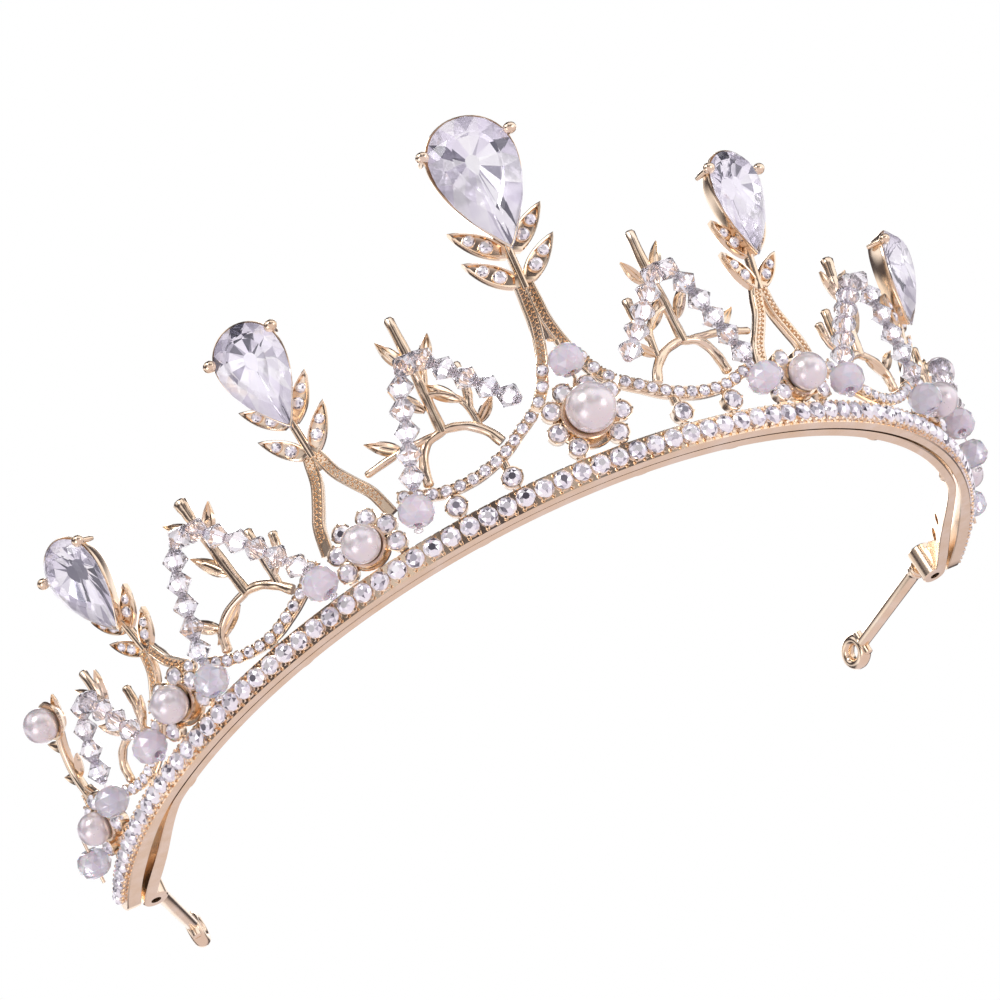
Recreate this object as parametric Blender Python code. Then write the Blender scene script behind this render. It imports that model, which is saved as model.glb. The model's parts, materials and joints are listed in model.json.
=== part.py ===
"""Bridal tiara: a stone-set band and crown that follow half an ellipse and lean outwards.

Metres, +Z up, the front faces -Y, X runs across, and the left and right halves mirror each other.
Everything on the crown is drawn flat first, as distance along the band, height and distance out,
and is then wrapped onto the leaning ellipse. Crown sizes are in crown units, about a millimetre.
"""

import math

import bmesh
import bpy
import numpy as np
from mathutils import Matrix, Vector

MM = 0.001

# Driving dimensions
PLAN_HALF_WIDTH = 72.2 * MM  # from the middle to the side of the row of band stones
PLAN_DEPTH = 75.4 * MM  # from the front of that row back to its widest place
LEAN = math.radians(12.5)  # how far the crown leans outwards from upright
SPIRE_PITCH = 34.0 * MM  # from one spire to the next, along the band
BAND_THICK = 1.3 * MM
BAND_TOP = 1.55 * MM  # above the middle of the stones
BAND_BOTTOM = 1.95 * MM  # below the middle of the stones
BAND_END_EXTRA = 0.9 * MM  # added to the inside of the band near its tips
BAND_TIP = 2.4 * MM  # length of each rounded tip
RAIL_THICK = 1.3 * MM
RAIL_END_THICK = 1.9 * MM
RAIL_HEIGHT = 2.6 * MM
RAIL_END_HEIGHT = 4.6 * MM
RAIL_SLOT = 1.0 * MM  # widest gap between band and rail, near the ends
BOSS_RADIUS = 2.0 * MM
BOSS_HEIGHT = 5.4 * MM
ARM_LENGTH = 28.0 * MM
ARM_RADIUS = 0.95 * MM
EYE_LONG = 2.4 * MM  # half sizes of the arm's eye, to the middle of its wire
EYE_TALL = 2.0 * MM
EYE_WIRE = 0.85 * MM
GAP = 0.3 * MM  # between pieces that touch

# Sizes worked out from them
PITCH_UNITS = 34.0  # crown units from one spire to the next
UNIT = SPIRE_PITCH / PITCH_UNITS
BAND_REACH = 3.44 * SPIRE_PITCH  # half the band's length
STONE_COUNT = 84
STONE_PITCH = 2 * (BAND_REACH - 1.6 * UNIT) / STONE_COUNT
REST_RISE = BAND_BOTTOM  # the middle of the stones above the resting plane
ORIGIN_BACK = 43.6 * MM  # the origin lies this far behind the front stones
CROWN_FOOT = 1.55  # crown height, in crown units, of the band's top edge

GOLD = ("gold", (0.86, 0.62, 0.42), 0.22, 1.0)
CRYSTAL = ("crystal", (0.86, 0.85, 0.92), 0.05, 0.2)
PEARL = ("pearl", (0.84, 0.79, 0.82), 0.25, 0.1)
OPAL = ("opal_glass", (0.80, 0.77, 0.88), 0.15, 0.0)
BEAD = ("clear_bead", (0.90, 0.88, 0.93), 0.08, 0.0)

# Spires: place along the band in pitches, then heights in crown units
SPIRES = {
    "centre": dict(at=0.0, fork=19.8, stem=27.6, neck=34.2, leaf_feet=(27.2, 31.7), leaf_tips=(32.9, 37.5),
              leaf_reach=6.2, leaf_wide=2.7, gem_foot=33.4, gem_long=17.7, gem_wide=11.3,
              flower=7.1, pearl=3.45, ring=((1.75, 3.9), (4.15, 2.1), (4.65, -1.0), (3.0, -3.8)),
              leg=((1.8, 17.3), (2.7, 15.3), (3.5, 13.4), (4.5, 11.9), (5.6, 10.6))),
    "1": dict(at=0.988, fork=18.0, stem=20.4, neck=26.3, leaf_feet=(19.6, 24.6), leaf_tips=(25.3, 30.1),
              leaf_reach=4.9, leaf_wide=2.4, gem_foot=25.5, gem_long=13.8, gem_wide=8.4,
              flower=5.2, pearl=2.7, ring=((1.85, 3.0), (3.8, 0.9), (3.85, -1.85)),
              leg=((1.5, 15.9), (2.9, 13.2), (4.2, 10.8), (5.1, 7.1))),
    "2": dict(at=2.03, fork=13.0, stem=15.5, neck=20.8, leaf_feet=(14.2, 18.2), leaf_tips=(18.9, 23.0),
              leaf_reach=4.1, leaf_wide=2.2, gem_foot=20.0, gem_long=13.4, gem_wide=8.2,
              flower=5.5, pearl=2.7, ring=((1.85, 2.9), (3.8, 0.7), (4.0, -2.2)),
              leg=((1.7, 11.3), (3.3, 9.4), (4.9, 7.8))),
}
END_SPIRE = dict(at=2.926, fork=10.2, flower=5.6, pearl=2.45, ring=((1.75, 2.9), (3.75, 0.9), (3.6, -2.1)),
                 leg=((1.9, 8.9), (3.7, 7.6), (4.7, 6.6)), stem=((0.0, 9.8), (-0.4, 14.0), (-2.4, 17.6), (-5.2, 20.2)),
                 leaves=(((-0.2, 12.6), (3.2, 16.2)), ((-0.7, 13.6), (-4.4, 15.4)), ((-2.4, 17.2), (0.8, 21.0)),
                         ((-4.3, 19.5), (-3.3, 24.4)), ((-5.7, 20.6), (-8.8, 23.4))),
                 leaf_wide=2.0, top_pearl=2.6, top=(-6.2, 20.9))

LEG_WIDE = 1.9
SPIRE_BEND = 0.10  # how far a spire leans out above its fork, beyond the crown's own lean
PLATE_FRONT = 0.35  # crown castings run from this far out
PLATE_BACK = -0.85  # to this far in

# Swags: the middles of the stone-set arcs between neighbouring spires
SWAGS = {
    "1": dict(path=((6.2, 10.2), (7.6, 9.3), (9.2, 8.4), (10.8, 7.4), (12.5, 6.6), (14.4, 6.0), (16.3, 5.6),
                    (18.1, 5.5), (20.0, 5.6), (21.8, 6.0), (23.7, 6.8), (25.4, 7.6), (26.9, 8.4)),
              links=(12.7, 20.8)),
    "2": dict(path=((40.8, 7.7), (42.0, 6.6), (43.9, 5.4), (46.2, 4.3), (48.3, 3.6), (50.2, 3.1),
                    (52.0, 2.95), (53.8, 3.1), (55.7, 3.5), (57.7, 4.2), (59.6, 5.1), (62.6, 7.0)),
              links=()),
    "3": dict(path=((74.8, 6.5), (76.2, 5.4), (78.2, 4.2), (80.6, 3.2), (82.9, 2.85), (85.1, 3.0),
                    (87.3, 3.6), (89.6, 4.7), (91.7, 5.7), (93.1, 6.3)),
              links=()),
}
LINK_RADIUS = 1.55
LINK_HEIGHT = 3.3

# Branches: twigs as (radius at the start, radius at the end, points), leaves as (foot, tip, width)
BRANCHES = {
    "1": dict(twigs=((0.75, 0.6, ((11.5, 8.5), (12.5, 10.6), (14.3, 12.4), (16.3, 13.3), (18.0, 13.6))),
                     (0.6, 0.75, ((17.6, 13.5), (20.3, 12.9), (21.9, 10.6), (22.6, 7.9))),
                     (0.75, 0.7, ((17.8, 13.2), (17.5, 18.5), (17.1, 24.5), (17.0, 30.6))),
                     (0.6, 0.55, ((19.0, 13.4), (23.5, 13.7), (28.7, 13.4))),
                     (0.55, 0.5, ((17.5, 18.9), (15.3, 17.9), (13.4, 15.4), (13.1, 11.0))),
                     (0.55, 0.75, ((13.3, 14.6), (12.5, 17.0), (12.3, 20.9))),
                     (0.5, 0.45, ((17.3, 19.5), (15.6, 23.4)))),
              leaves=(((18.0, 23.6), (19.9, 28.6), 1.9), ((15.8, 22.8), (13.6, 26.5), 1.8),
                      ((23.4, 13.6), (27.3, 17.1), 2.0), ((16.9, 20.0), (13.7, 15.7), 2.1),
                      ((18.5, 17.0), (21.4, 21.8), 1.9), ((12.9, 12.3), (9.9, 14.9), 1.7))),
    "2": dict(twigs=((0.75, 0.65, ((45.3, 6.3), (46.8, 8.2), (49.0, 9.8), (51.4, 10.4))),
                     (0.6, 0.75, ((51.0, 10.3), (54.4, 9.9), (57.2, 8.4), (58.3, 5.9))),
                     (0.8, 0.7, ((51.0, 10.0), (51.4, 14.5), (51.8, 20.5), (51.9, 24.0))),
                     (0.6, 1.0, ((51.9, 22.0), (52.0, 26.0))),
                     (0.6, 0.75, ((46.5, 8.0), (46.4, 12.0), (46.3, 16.6))),
                     (0.5, 0.7, ((46.4, 9.6), (44.3, 11.6), (43.5, 14.2)))),
              leaves=(((52.3, 20.9), (55.7, 25.0), 1.9), ((51.5, 19.4), (48.4, 23.4), 2.2),
                      ((51.7, 13.6), (55.0, 18.9), 2.1), ((57.2, 8.6), (61.6, 12.8), 2.0),
                      ((53.0, 9.6), (58.8, 7.2), 1.9))),
    "3": dict(twigs=((0.7, 0.6, ((77.4, 6.0), (78.6, 7.6), (80.6, 8.7), (82.4, 8.9))),
                     (0.6, 0.7, ((82.0, 8.9), (84.7, 8.5), (86.6, 7.2), (87.4, 5.0))),
                     (0.75, 0.7, ((82.0, 8.6), (82.0, 13.0), (81.8, 20.3))),
                     (0.55, 0.7, ((78.4, 7.4), (76.9, 10.3), (76.4, 13.3)))),
              leaves=(((82.1, 15.0), (84.8, 19.8), 1.9), ((81.6, 14.6), (79.0, 18.9), 2.0),
                      ((82.1, 9.6), (85.4, 13.6), 1.9), ((78.5, 7.7), (74.6, 10.8), 1.8))),
}

# Strands: each thread runs from the branch top down to its foot; the opal sits near the end
STRANDS = {
    "1": dict(inner=((16.8, 24.0), (14.6, 21.0), (12.2, 17.8), (9.8, 14.7), (7.6, 12.0)),
              outer=((16.8, 24.0), (18.9, 22.6), (20.4, 19.4), (21.4, 16.0), (22.9, 12.0), (24.4, 7.8)),
              inner_opal=None, outer_opal=(25.5, 4.9)),
    "2": dict(inner=((52.0, 21.8), (49.4, 18.6), (46.8, 15.2), (44.2, 11.2), (41.4, 6.5)),
              outer=((52.0, 21.8), (54.8, 20.9), (56.7, 17.6), (58.0, 13.8), (59.3, 10.4), (60.7, 6.3)),
              inner_opal=(40.7, 3.9), outer_opal=(61.1, 3.4)),
    "3": dict(inner=((81.8, 17.0), (80.2, 14.0), (78.9, 10.6), (77.2, 6.6)),
              outer=((81.8, 17.0), (84.6, 14.6), (87.0, 11.4), (89.2, 7.2)),
              inner_opal=(76.2, 3.8), outer_opal=(90.0, 4.3)),
}
CENTRE_OPAL = (0.0, 14.6)
CENTRE_WIRE = ((0.0, 19.0, 0.0), (0.0, 17.6, 3.0), (0.0, 11.9, 3.0), (0.0, 10.9, 0.4))
END_WIRE = ((103.8, 7.9, 2.3), (104.4, 6.8, 3.0), (107.9, 1.0, 3.0))
END_OPAL = 0.53  # its place between the last two points of its wire
STRAND_OUT = 2.75  # of the thread, in front of the crown's middle surface
OPAL_OUT = 3.0
OPAL_RADIUS = 2.45
OPAL_HALF = 2.0
THREAD = 0.25
OPAL_HOLE = 0.65
BICONE_RADIUS = 1.55
BICONE_NECK = 0.6
BICONE_PITCH = 3.2


# ---------------------------------------------------------------- the leaning ellipse


def ellipse_table():
    """Distance along half the row of stones, with the place and heading reached there."""
    turn = np.linspace(0.0, math.radians(125), 1251)
    x = PLAN_HALF_WIDTH * np.sin(turn)
    y = PLAN_DEPTH * (1 - np.cos(turn))
    heading = np.arctan2(PLAN_DEPTH * np.sin(turn), PLAN_HALF_WIDTH * np.cos(turn))
    steps = np.hypot(np.diff(x), np.diff(y))
    return np.concatenate([[0.0], np.cumsum(steps)]), x, y, heading


ALONG, ROW_X, ROW_Y, HEADING = ellipse_table()


def row_frame(along):
    """The point of the row this far from the middle, with its along, up and outward directions."""
    side = -1.0 if along < 0 else 1.0
    reach = abs(along)
    heading = side * float(np.interp(reach, ALONG, HEADING))
    x = side * float(np.interp(reach, ALONG, ROW_X))
    y = float(np.interp(reach, ALONG, ROW_Y)) - ORIGIN_BACK
    tangent = Vector((math.cos(heading), math.sin(heading), 0.0))
    level = Vector((math.sin(heading), -math.cos(heading), 0.0))
    up = level * math.sin(LEAN) + Vector((0, 0, math.cos(LEAN)))
    out = level * math.cos(LEAN) - Vector((0, 0, math.sin(LEAN)))
    return Vector((x, y, REST_RISE)), tangent, up, out


def wrapped(along, height, out):
    """A flat point, in metres, put on the leaning ellipse."""
    point, _, up, outward = row_frame(along)
    return point + up * height + outward * out


def crown_height(height):
    """Crown units above the stones into metres, keeping the crown's foot on the band's top edge."""
    return BAND_TOP + (height - CROWN_FOOT) * UNIT


def crown_point(point):
    """A flat point in crown units, as along, height and out, put on the leaning ellipse."""
    along, height, out = point
    return wrapped(along * UNIT, crown_height(height), out * UNIT)


def crown_frame(along, height, out):
    """A matrix with X along the band, Y inwards and Z up the lean, at a flat crown point."""
    _, tangent, up, outward = row_frame(along * UNIT)
    axes = Matrix((tangent, -outward, up)).transposed().to_4x4()
    return Matrix.Translation(crown_point((along, height, out))) @ axes


# ---------------------------------------------------------------- closed shells


def ring_faces(rings, count):
    """Side faces between neighbouring rings of count points, and a cap on each end."""
    faces = []
    for ring in range(rings - 1):
        for k in range(count):
            a = ring * count + k
            b = ring * count + (k + 1) % count
            faces.append((a, b, b + count, a + count))
    faces.append(tuple(reversed(range(count))))
    faces.append(tuple(range((rings - 1) * count, rings * count)))
    return faces


def loft(sections):
    """A closed shell through rings of points, all with the same count."""
    points = [point for section in sections for point in section]
    return points, ring_faces(len(sections), len(sections[0]))


def unit_directions(path):
    """The direction of a path at each of its points."""
    ends = np.array(path, float)
    steps = np.diff(ends, axis=0)
    steps /= np.linalg.norm(steps, axis=1)[:, None]
    mean = np.vstack([steps[:1], steps[:-1] + steps[1:], steps[-1:]])
    return mean / np.linalg.norm(mean, axis=1)[:, None]


def flat_rod(path, side_radii, out_radii, out=0.0, sides=5):
    """A rod in the flat crown along (along, height) points, with a flattened round section."""
    sections = []
    for (x, z), (dx, dz), side, deep in zip(path, unit_directions(path), side_radii, out_radii):
        ring = []
        for k in range(sides):
            turn = math.tau * (k + 0.5) / sides
            across = side * math.cos(turn)
            ring.append((x - dz * across, z + dx * across, out + deep * math.sin(turn)))
        sections.append(ring)
    return loft(sections)


def twig(start, end, path):
    """A branch's round twig, with rounded ends."""
    share = np.linspace(0, 1, len(path))
    radii = list(start + (end - start) * share)
    return flat_rod(path, radii, radii)


def leaf(foot, tip, width, out=0.0, deep=0.6):
    """A pointed leaf with a ridge along it, from its foot to its tip."""
    foot = np.array(foot)
    tip = np.array(tip)
    path = [tuple(foot + (tip - foot) * share) for share in (0.0, 0.4, 0.75, 1.0)]
    wides = [width * wide for wide in (0.24, 0.5, 0.38, 0.06)]
    sections = []
    for (x, z), (dx, dz), wide, thin in zip(path, unit_directions(path), wides, (deep, deep, deep, 0.2 * deep)):
        sections.append([(x, z, out + thin), (x - dz * wide, z + dx * wide, out),
                         (x, z, out - thin), (x + dz * wide, z - dx * wide, out)])
    return loft(sections)


def ribbon(path, width, front=PLATE_FRONT, back=PLATE_BACK):
    """A flat strip of the crown, with a rectangular section."""
    sections = []
    for (x, z), (dx, dz) in zip(path, unit_directions(path)):
        half = width / 2
        sections.append([(x - dz * side * half, z + dx * side * half, deep)
                         for side, deep in ((1, front), (1, back), (-1, back), (-1, front))])
    return loft(sections)


def disc(x, z, radii, outs, sides=6):
    """A round stack that faces out, through these radii at these distances out."""
    sections = []
    for radius, out in zip(radii, outs):
        sections.append([(x + radius * math.cos(math.tau * (k + 0.5) / sides),
                          z + radius * math.sin(math.tau * (k + 0.5) / sides), out) for k in range(sides)])
    return loft(sections)


def stud(x, z, radius):
    """A small stone in its cup."""
    return disc(x, z, (0.85 * radius, radius), (-0.55, 1.45))


def pearl_cup(x, z, radius, centre_out):
    """A shallow round cup behind a pearl, a gap away from it all round."""
    clear = radius + GAP / UNIT
    shells = ((clear + 0.55, 12), (clear + 0.55, 58), (clear, 58), (clear, 35), (clear, 12))
    radii = [shell * math.sin(math.radians(turn)) for shell, turn in shells]
    outs = [centre_out - shell * math.cos(math.radians(turn)) for shell, turn in shells]
    return disc(x, z, radii, outs, 12)


def pear_outline(width, length, count=14):
    """Points round a teardrop: a round end on top and a point at the foot, which lies at the origin."""
    widest = 4 / math.sqrt(27)  # the most that sin(2t) * sin(t) reaches
    points = []
    for k in range(count):
        turn = math.pi * k / count
        points.append((width / 2 * math.sin(2 * turn) * math.sin(turn) / widest, length * math.sin(turn) ** 2))
    return points


def pear_ring(x, z, width, length, inset, deep):
    """The pear outline shrunk by an inset, at one distance out."""
    middle = length - width / 2
    share = 1 - 2 * inset / width
    return [(x + px * share, z + middle + (pz - middle) * share, deep)
            for px, pz in pear_outline(width, length)]


def gem_tray(x, foot, width, length):
    """The pear-shaped tray behind a crystal, with a low rim round it."""
    return loft([pear_ring(x, foot, width, length, 0.6, -0.6),
                 pear_ring(x, foot, width, length, -0.8, 1.7),
                 pear_ring(x, foot, width, length, -0.33, 1.7),
                 pear_ring(x, foot, width, length, 0.9, 0.3)])


def opal_shell():
    """A rounded bead about Z with a hole through it, in crown units."""
    profile = ((OPAL_HOLE, OPAL_HALF), (1.6, OPAL_HALF), (OPAL_RADIUS, 0.6), (OPAL_RADIUS, -0.6),
               (1.6, -OPAL_HALF), (OPAL_HOLE, -OPAL_HALF))
    sides = 8
    points = []
    for radius, height in profile:
        for k in range(sides):
            turn = math.tau * k / sides
            points.append((radius * math.cos(turn), radius * math.sin(turn), height))
    return points, loop_faces(len(profile), sides)


# ---------------------------------------------------------------- objects


def clear_scene():
    for obj in list(bpy.data.objects):
        bpy.data.objects.remove(obj)


def material(kind):
    name, colour, roughness, metallic = kind
    found = bpy.data.materials.get(name)
    if found:
        return found
    made = bpy.data.materials.new(name)
    made.use_nodes = True
    shader = made.node_tree.nodes["Principled BSDF"]
    shader.inputs["Base Color"].default_value = (*colour, 1.0)
    shader.inputs["Roughness"].default_value = roughness
    shader.inputs["Metallic"].default_value = metallic
    return made


def new_object(name, shell, kind, matrix=None, smooth=False):
    """A mesh object from points and faces, with its faces turned outwards."""
    points, faces = shell
    mesh = bpy.data.meshes.new(name)
    mesh.from_pydata([tuple(point) for point in points], [], faces)
    work = bmesh.new()
    work.from_mesh(mesh)
    bmesh.ops.recalc_face_normals(work, faces=work.faces[:])
    work.to_mesh(mesh)
    work.free()
    mesh.materials.append(material(kind))
    mesh.polygons.foreach_set("use_smooth", [smooth] * len(mesh.polygons))
    obj = bpy.data.objects.new(name, mesh)
    bpy.context.scene.collection.objects.link(obj)
    if matrix is not None:
        obj.matrix_world = matrix
    return obj


def fused(name, shells, kind, cutters=()):
    """One object joined from overlapping shells, with any cutters taken away."""
    base = new_object(name, shells[0], kind)
    extra = []
    for operation, group in (("UNION", shells[1:]), ("DIFFERENCE", cutters)):
        for shell in group:
            other = new_object(name + "_piece", shell, kind)
            change = base.modifiers.new(operation.lower(), "BOOLEAN")
            change.operation = operation
            change.solver = "EXACT"
            change.object = other
            extra.append(other)
    bpy.context.view_layer.update()
    graph = bpy.context.evaluated_depsgraph_get()
    mesh = bpy.data.meshes.new_from_object(base.evaluated_get(graph))
    base.modifiers.clear()
    base.data = mesh
    for other in extra:
        bpy.data.objects.remove(other)
    return base


def on_crown(shell, place=0.0, bend_from=math.inf):
    """A flat shell moved this many spire pitches to the right, bent outwards above a height, and wrapped."""
    points, faces = shell
    return [crown_point((x + place * PITCH_UNITS, z, out + SPIRE_BEND * max(0.0, z - bend_from)))
            for x, z, out in points], faces


# ---------------------------------------------------------------- band, rail and arms


def height_of_level(level, out):
    """The wrapped height of a point this far above the stones' middle and this far out."""
    return (level + out * math.sin(LEAN)) / math.cos(LEAN)


def band_section(along, outline):
    """Points of a band section, from (level above the stones' middle, distance out) pairs."""
    return [wrapped(along, height_of_level(level, out), out) for level, out in outline]


def end_share(along, start, stop):
    """0 up to the start and 1 from the stop, both as shares of the band's half length."""
    return min(1.0, max(0.0, (abs(along) / BAND_REACH - start) / (stop - start)))


def band_back(along):
    """How far in the band's back face lies from the middle of the stones."""
    share = end_share(along, 0.70, 0.88)
    return BAND_THICK / 2 + BAND_END_EXTRA * share * share * (3 - 2 * share)


def front_band():
    """The front band, with a flat underside to rest on and rounded tips."""
    front = BAND_THICK / 2
    steps = list(np.linspace(-1, 1, 45) * (BAND_REACH - BAND_TIP))
    sections = []
    for place in [-BAND_REACH] + steps + [BAND_REACH]:
        drop = 0.45 * BAND_TIP if abs(place) == BAND_REACH else 0.0
        top = BAND_TOP * math.cos(LEAN) - drop
        low = -BAND_BOTTOM + drop
        back = 0.4 * drop - band_back(place)
        outline = ((top, front - 0.25 * MM), (top - 0.3 * MM, front), (low + 0.3 * MM, front),
                   (low, front - 0.25 * MM), (low, back), (top, back))
        sections.append(band_section(place, outline))
    return new_object("front_band", loft(sections), GOLD)


def band_stones():
    """The row of band stones, which touch edge to edge and grow smaller towards the tips."""
    low = BAND_THICK / 2 + GAP
    high = low + 0.9 * MM
    sections = []
    for place in np.linspace(-1, 1, STONE_COUNT // 2 + 1) * STONE_COUNT * STONE_PITCH / 2:
        half = 1.3 * MM * (1.0 - 0.22 * end_share(place, 0.8, 1.0))
        sections.append([wrapped(place, side * half * share, deep)
                         for side, share, deep in ((1, 1, low), (-1, 1, low), (-1, 0.6, high), (1, 0.6, high))])
    return new_object("band_stones", loft(sections), CRYSTAL)


RAIL_REACH = 0.99 * BAND_REACH


def rail_place(along):
    """The rail's outer face and thickness, both measured inwards from the middle of the stones."""
    slot = RAIL_SLOT * math.sin(math.pi * end_share(along, 0.72, RAIL_REACH / BAND_REACH))
    thick = RAIL_THICK + (RAIL_END_THICK - RAIL_THICK) * end_share(along, 0.7, 0.9)
    return band_back(along) + GAP + slot, thick


def rail_level(along, share):
    """A level on the rail's wall, from 0 on its underside to 1 on its top."""
    height = RAIL_HEIGHT + (RAIL_END_HEIGHT - RAIL_HEIGHT) * end_share(along, 0.72, 0.86)
    return -BAND_BOTTOM + share * height


def back_rail():
    """The strip behind the band, with soldered lumps, end slots and a boss with a hole at each end."""
    sections = []
    for place in np.linspace(-RAIL_REACH, RAIL_REACH, 45):
        outer, thick = rail_place(place)
        top = rail_level(place, 1.0)
        outline = ((-BAND_BOTTOM, -outer), (-BAND_BOTTOM, -outer - thick), (top, -outer - thick), (top, -outer))
        sections.append(band_section(place, outline))
    shells = [loft(sections)]
    cutters = []
    for share in (-0.68, -0.43, -0.17, 0.04, 0.17, 0.43, 0.68):
        shells.append(solder_lump(share * BAND_REACH))
    for side in (-1, 1):
        centre = rail_end(side)
        shells.append(upright_cylinder(centre, BOSS_RADIUS, 0.0, BOSS_HEIGHT, 12))
        cutters.append(upright_cylinder(centre, 0.8 * MM, -MM, BOSS_HEIGHT + MM, 8))
        for share, half_long in ((0.85, 0.9 * MM), (0.9, 1.5 * MM)):
            cutters.append(rail_slot(side * share * BAND_REACH, half_long))
    return fused("back_rail", shells, GOLD, cutters)


def solder_lump(along):
    """A low lump of solder under the rail's inner edge."""
    outer, thick = rail_place(along)
    sections = []
    for step, low, deep in ((-2.2, 0.5, 0.1), (-1.2, 0.1, 0.45), (1.2, 0.1, 0.45), (2.2, 0.5, 0.1)):
        base = -BAND_BOTTOM + low * MM
        back = -outer - thick - deep * MM
        front = -outer - 0.3 * MM
        outline = ((base, front), (base, back), (base + 1.1 * MM, back), (base + 1.1 * MM, front))
        sections.append(band_section(along + step * MM, outline))
    return loft(sections)


def rail_end(side):
    """The middle of the boss at one end of the rail, on the resting plane."""
    outer, _ = rail_place(RAIL_REACH)
    middle = -outer - GAP - BOSS_RADIUS
    point = wrapped(side * RAIL_REACH, height_of_level(0.0, middle), middle)
    return Vector((point.x, point.y, 0.0))


def upright_cylinder(centre, radius, low, high, sides):
    sections = []
    for height in (low, high):
        sections.append([(centre.x + radius * math.cos(math.tau * k / sides),
                          centre.y + radius * math.sin(math.tau * k / sides), height) for k in range(sides)])
    return loft(sections)


def rail_slot(along, half_long):
    """A cutter for a rounded slot through the rail's wall."""
    outer, thick = rail_place(along)
    sections = []
    for out in (-outer + 0.5 * GAP, -outer - thick - MM):
        ring = []
        for k in range(8):
            turn = math.tau * (k + 0.5) / 8
            level = rail_level(along, 0.55 + 0.22 * math.sin(turn))
            ring.append(wrapped(along + half_long * math.cos(turn), height_of_level(level, out), out))
        sections.append(ring)
    return loft(sections)


def arm_frame():
    """The right arm's start behind the rail's boss, and its direction."""
    _, tangent, _, _ = row_frame(BAND_REACH)
    direction = (tangent + Vector((-0.28, 0.0, 0.0))).normalized()
    start = rail_end(1) + direction * (BOSS_RADIUS + GAP)
    start.z = 0.62 * BOSS_HEIGHT
    return start, direction


def round_rod(path, radii, sides=8):
    """A round rod through world points that lie in one upright plane."""
    directions = unit_directions(path)
    level = Vector((0, 0, 1)) if abs(directions[0][2]) < 0.7 else Vector((1, 0, 0))
    flat = Vector(directions[0]).cross(level).normalized()
    sections = []
    for point, direction, radius in zip(path, directions, radii):
        other = flat.cross(Vector(direction))
        sections.append([Vector(point) + flat * radius * math.cos(math.tau * k / sides)
                         + other * radius * math.sin(math.tau * k / sides) for k in range(sides)])
    return loft(sections)


def arm(name):
    """The right end arm: a collar, a round rod, and an upright eye with a short crossbar at its neck."""
    start, direction = arm_frame()
    across = direction.cross(Vector((0, 0, 1))).normalized()
    up = across.cross(direction)
    neck = ARM_LENGTH - 2 * EYE_LONG - EYE_WIRE
    rod = round_rod([start + direction * reach for reach in (0.0, 1.4 * MM, 2.0 * MM, neck)],
                    [1.35 * MM, 1.35 * MM, ARM_RADIUS, 0.9 * ARM_RADIUS])
    eye = eye_ring(start + direction * (neck + EYE_LONG), direction, up)
    bar = round_rod([start + direction * (neck - 0.3 * MM) + up * reach for reach in (-2.2 * MM, 2.2 * MM)],
                    [0.75 * MM, 0.75 * MM], 6)
    return fused(name, [rod, bar, eye], GOLD)


def eye_ring(centre, direction, up):
    """An oval ring of thick wire in the plane of two directions."""
    around = 14
    sides = 6
    across = direction.cross(up)
    points = []
    for k in range(around):
        turn = math.tau * (k + 0.5) / around
        spoke = direction * math.cos(turn) + up * math.sin(turn)
        middle = centre + direction * EYE_LONG * math.cos(turn) + up * EYE_TALL * math.sin(turn)
        for j in range(sides):
            spin = math.tau * j / sides
            points.append(middle + spoke * EYE_WIRE * math.cos(spin) + across * 1.2 * EYE_WIRE * math.sin(spin))
    return points, loop_faces(around, sides)


def loop_faces(rings, count):
    """Faces of a tube that closes on itself, through rings of points with the same count."""
    faces = []
    for ring in range(rings):
        here = ring * count
        after = ((ring + 1) % rings) * count
        for k in range(count):
            nxt = (k + 1) % count
            faces.append((here + k, after + k, after + nxt, here + nxt))
    return faces


# ---------------------------------------------------------------- spires and their flowers


def pearl_out(radius):
    """How far out the middle of a flower's pearl stands, in crown units."""
    return radius + 0.2


def flower_shells(radius, height, ring):
    """A pearl's cup with the stone cups round it, on a disc, and two posts down to the band."""
    low = CROWN_FOOT + GAP / UNIT
    reach = min(math.hypot(*ring[1]) - 0.1, height - low)
    shells = [disc(0.0, height, (reach, reach), (-0.6, 0.25), 10), pearl_cup(0.0, height, radius, pearl_out(radius))]
    for turned in (-1, 1):
        for x, rise in ring:
            shells.append(stud(turned * x, height + rise, 1.45))
        x, rise = ring[-1]
        foot = [(turned * x, height + rise), (turned * (x + 0.2), low)]
        shells.append(ribbon(foot, 1.3, 0.5, -0.45))
    return shells


def spire_base(spec):
    """The legs and the flower of a spire, centred on zero along the band."""
    leg = spec["leg"]
    legs = [(-x, z) for x, z in reversed(leg)] + [(0.0, spec["fork"] + 0.3)] + list(leg)
    return [ribbon(legs, LEG_WIDE)] + flower_shells(spec["pearl"], spec["flower"], spec["ring"])


def spire_top(spec):
    """The stem and the four leaves of a spire, centred on zero along the band."""
    shells = [ribbon([(0.0, spec["fork"] - 0.8), (0.0, spec["stem"])], 2.5, 0.5, -0.6),
              ribbon([(0.0, spec["stem"] - 1.0), (0.0, spec["neck"])], 1.1, 0.65, -0.4)]
    for turned in (-1, 1):
        for foot, tip in zip(spec["leaf_feet"], spec["leaf_tips"]):
            shells.append(leaf((turned * 0.25, foot), (turned * spec["leaf_reach"], tip), spec["leaf_wide"], 0.1, 0.8))
    return shells


def crystal_spire(name, spec):
    """A spire with its tray and claws for a crystal."""
    width = spec["gem_wide"]
    shells = spire_base(spec) + spire_top(spec)
    shells.append(gem_tray(0.0, spec["gem_foot"], width, spec["gem_long"]))
    claws = spec["gem_foot"] + spec["gem_long"] - 0.3 * width
    for turned in (-1, 1):
        shells.append(disc(turned * (width / 2 + 0.5), claws, (0.5, 0.8, 0.3), (-0.2, 2.4, 3.4), 5))
    if name == "spire_centre":
        shells.append(wire(CENTRE_WIRE))
    return fused(name, [on_crown(shell, spec["at"], spec["fork"]) for shell in shells], GOLD)


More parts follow.
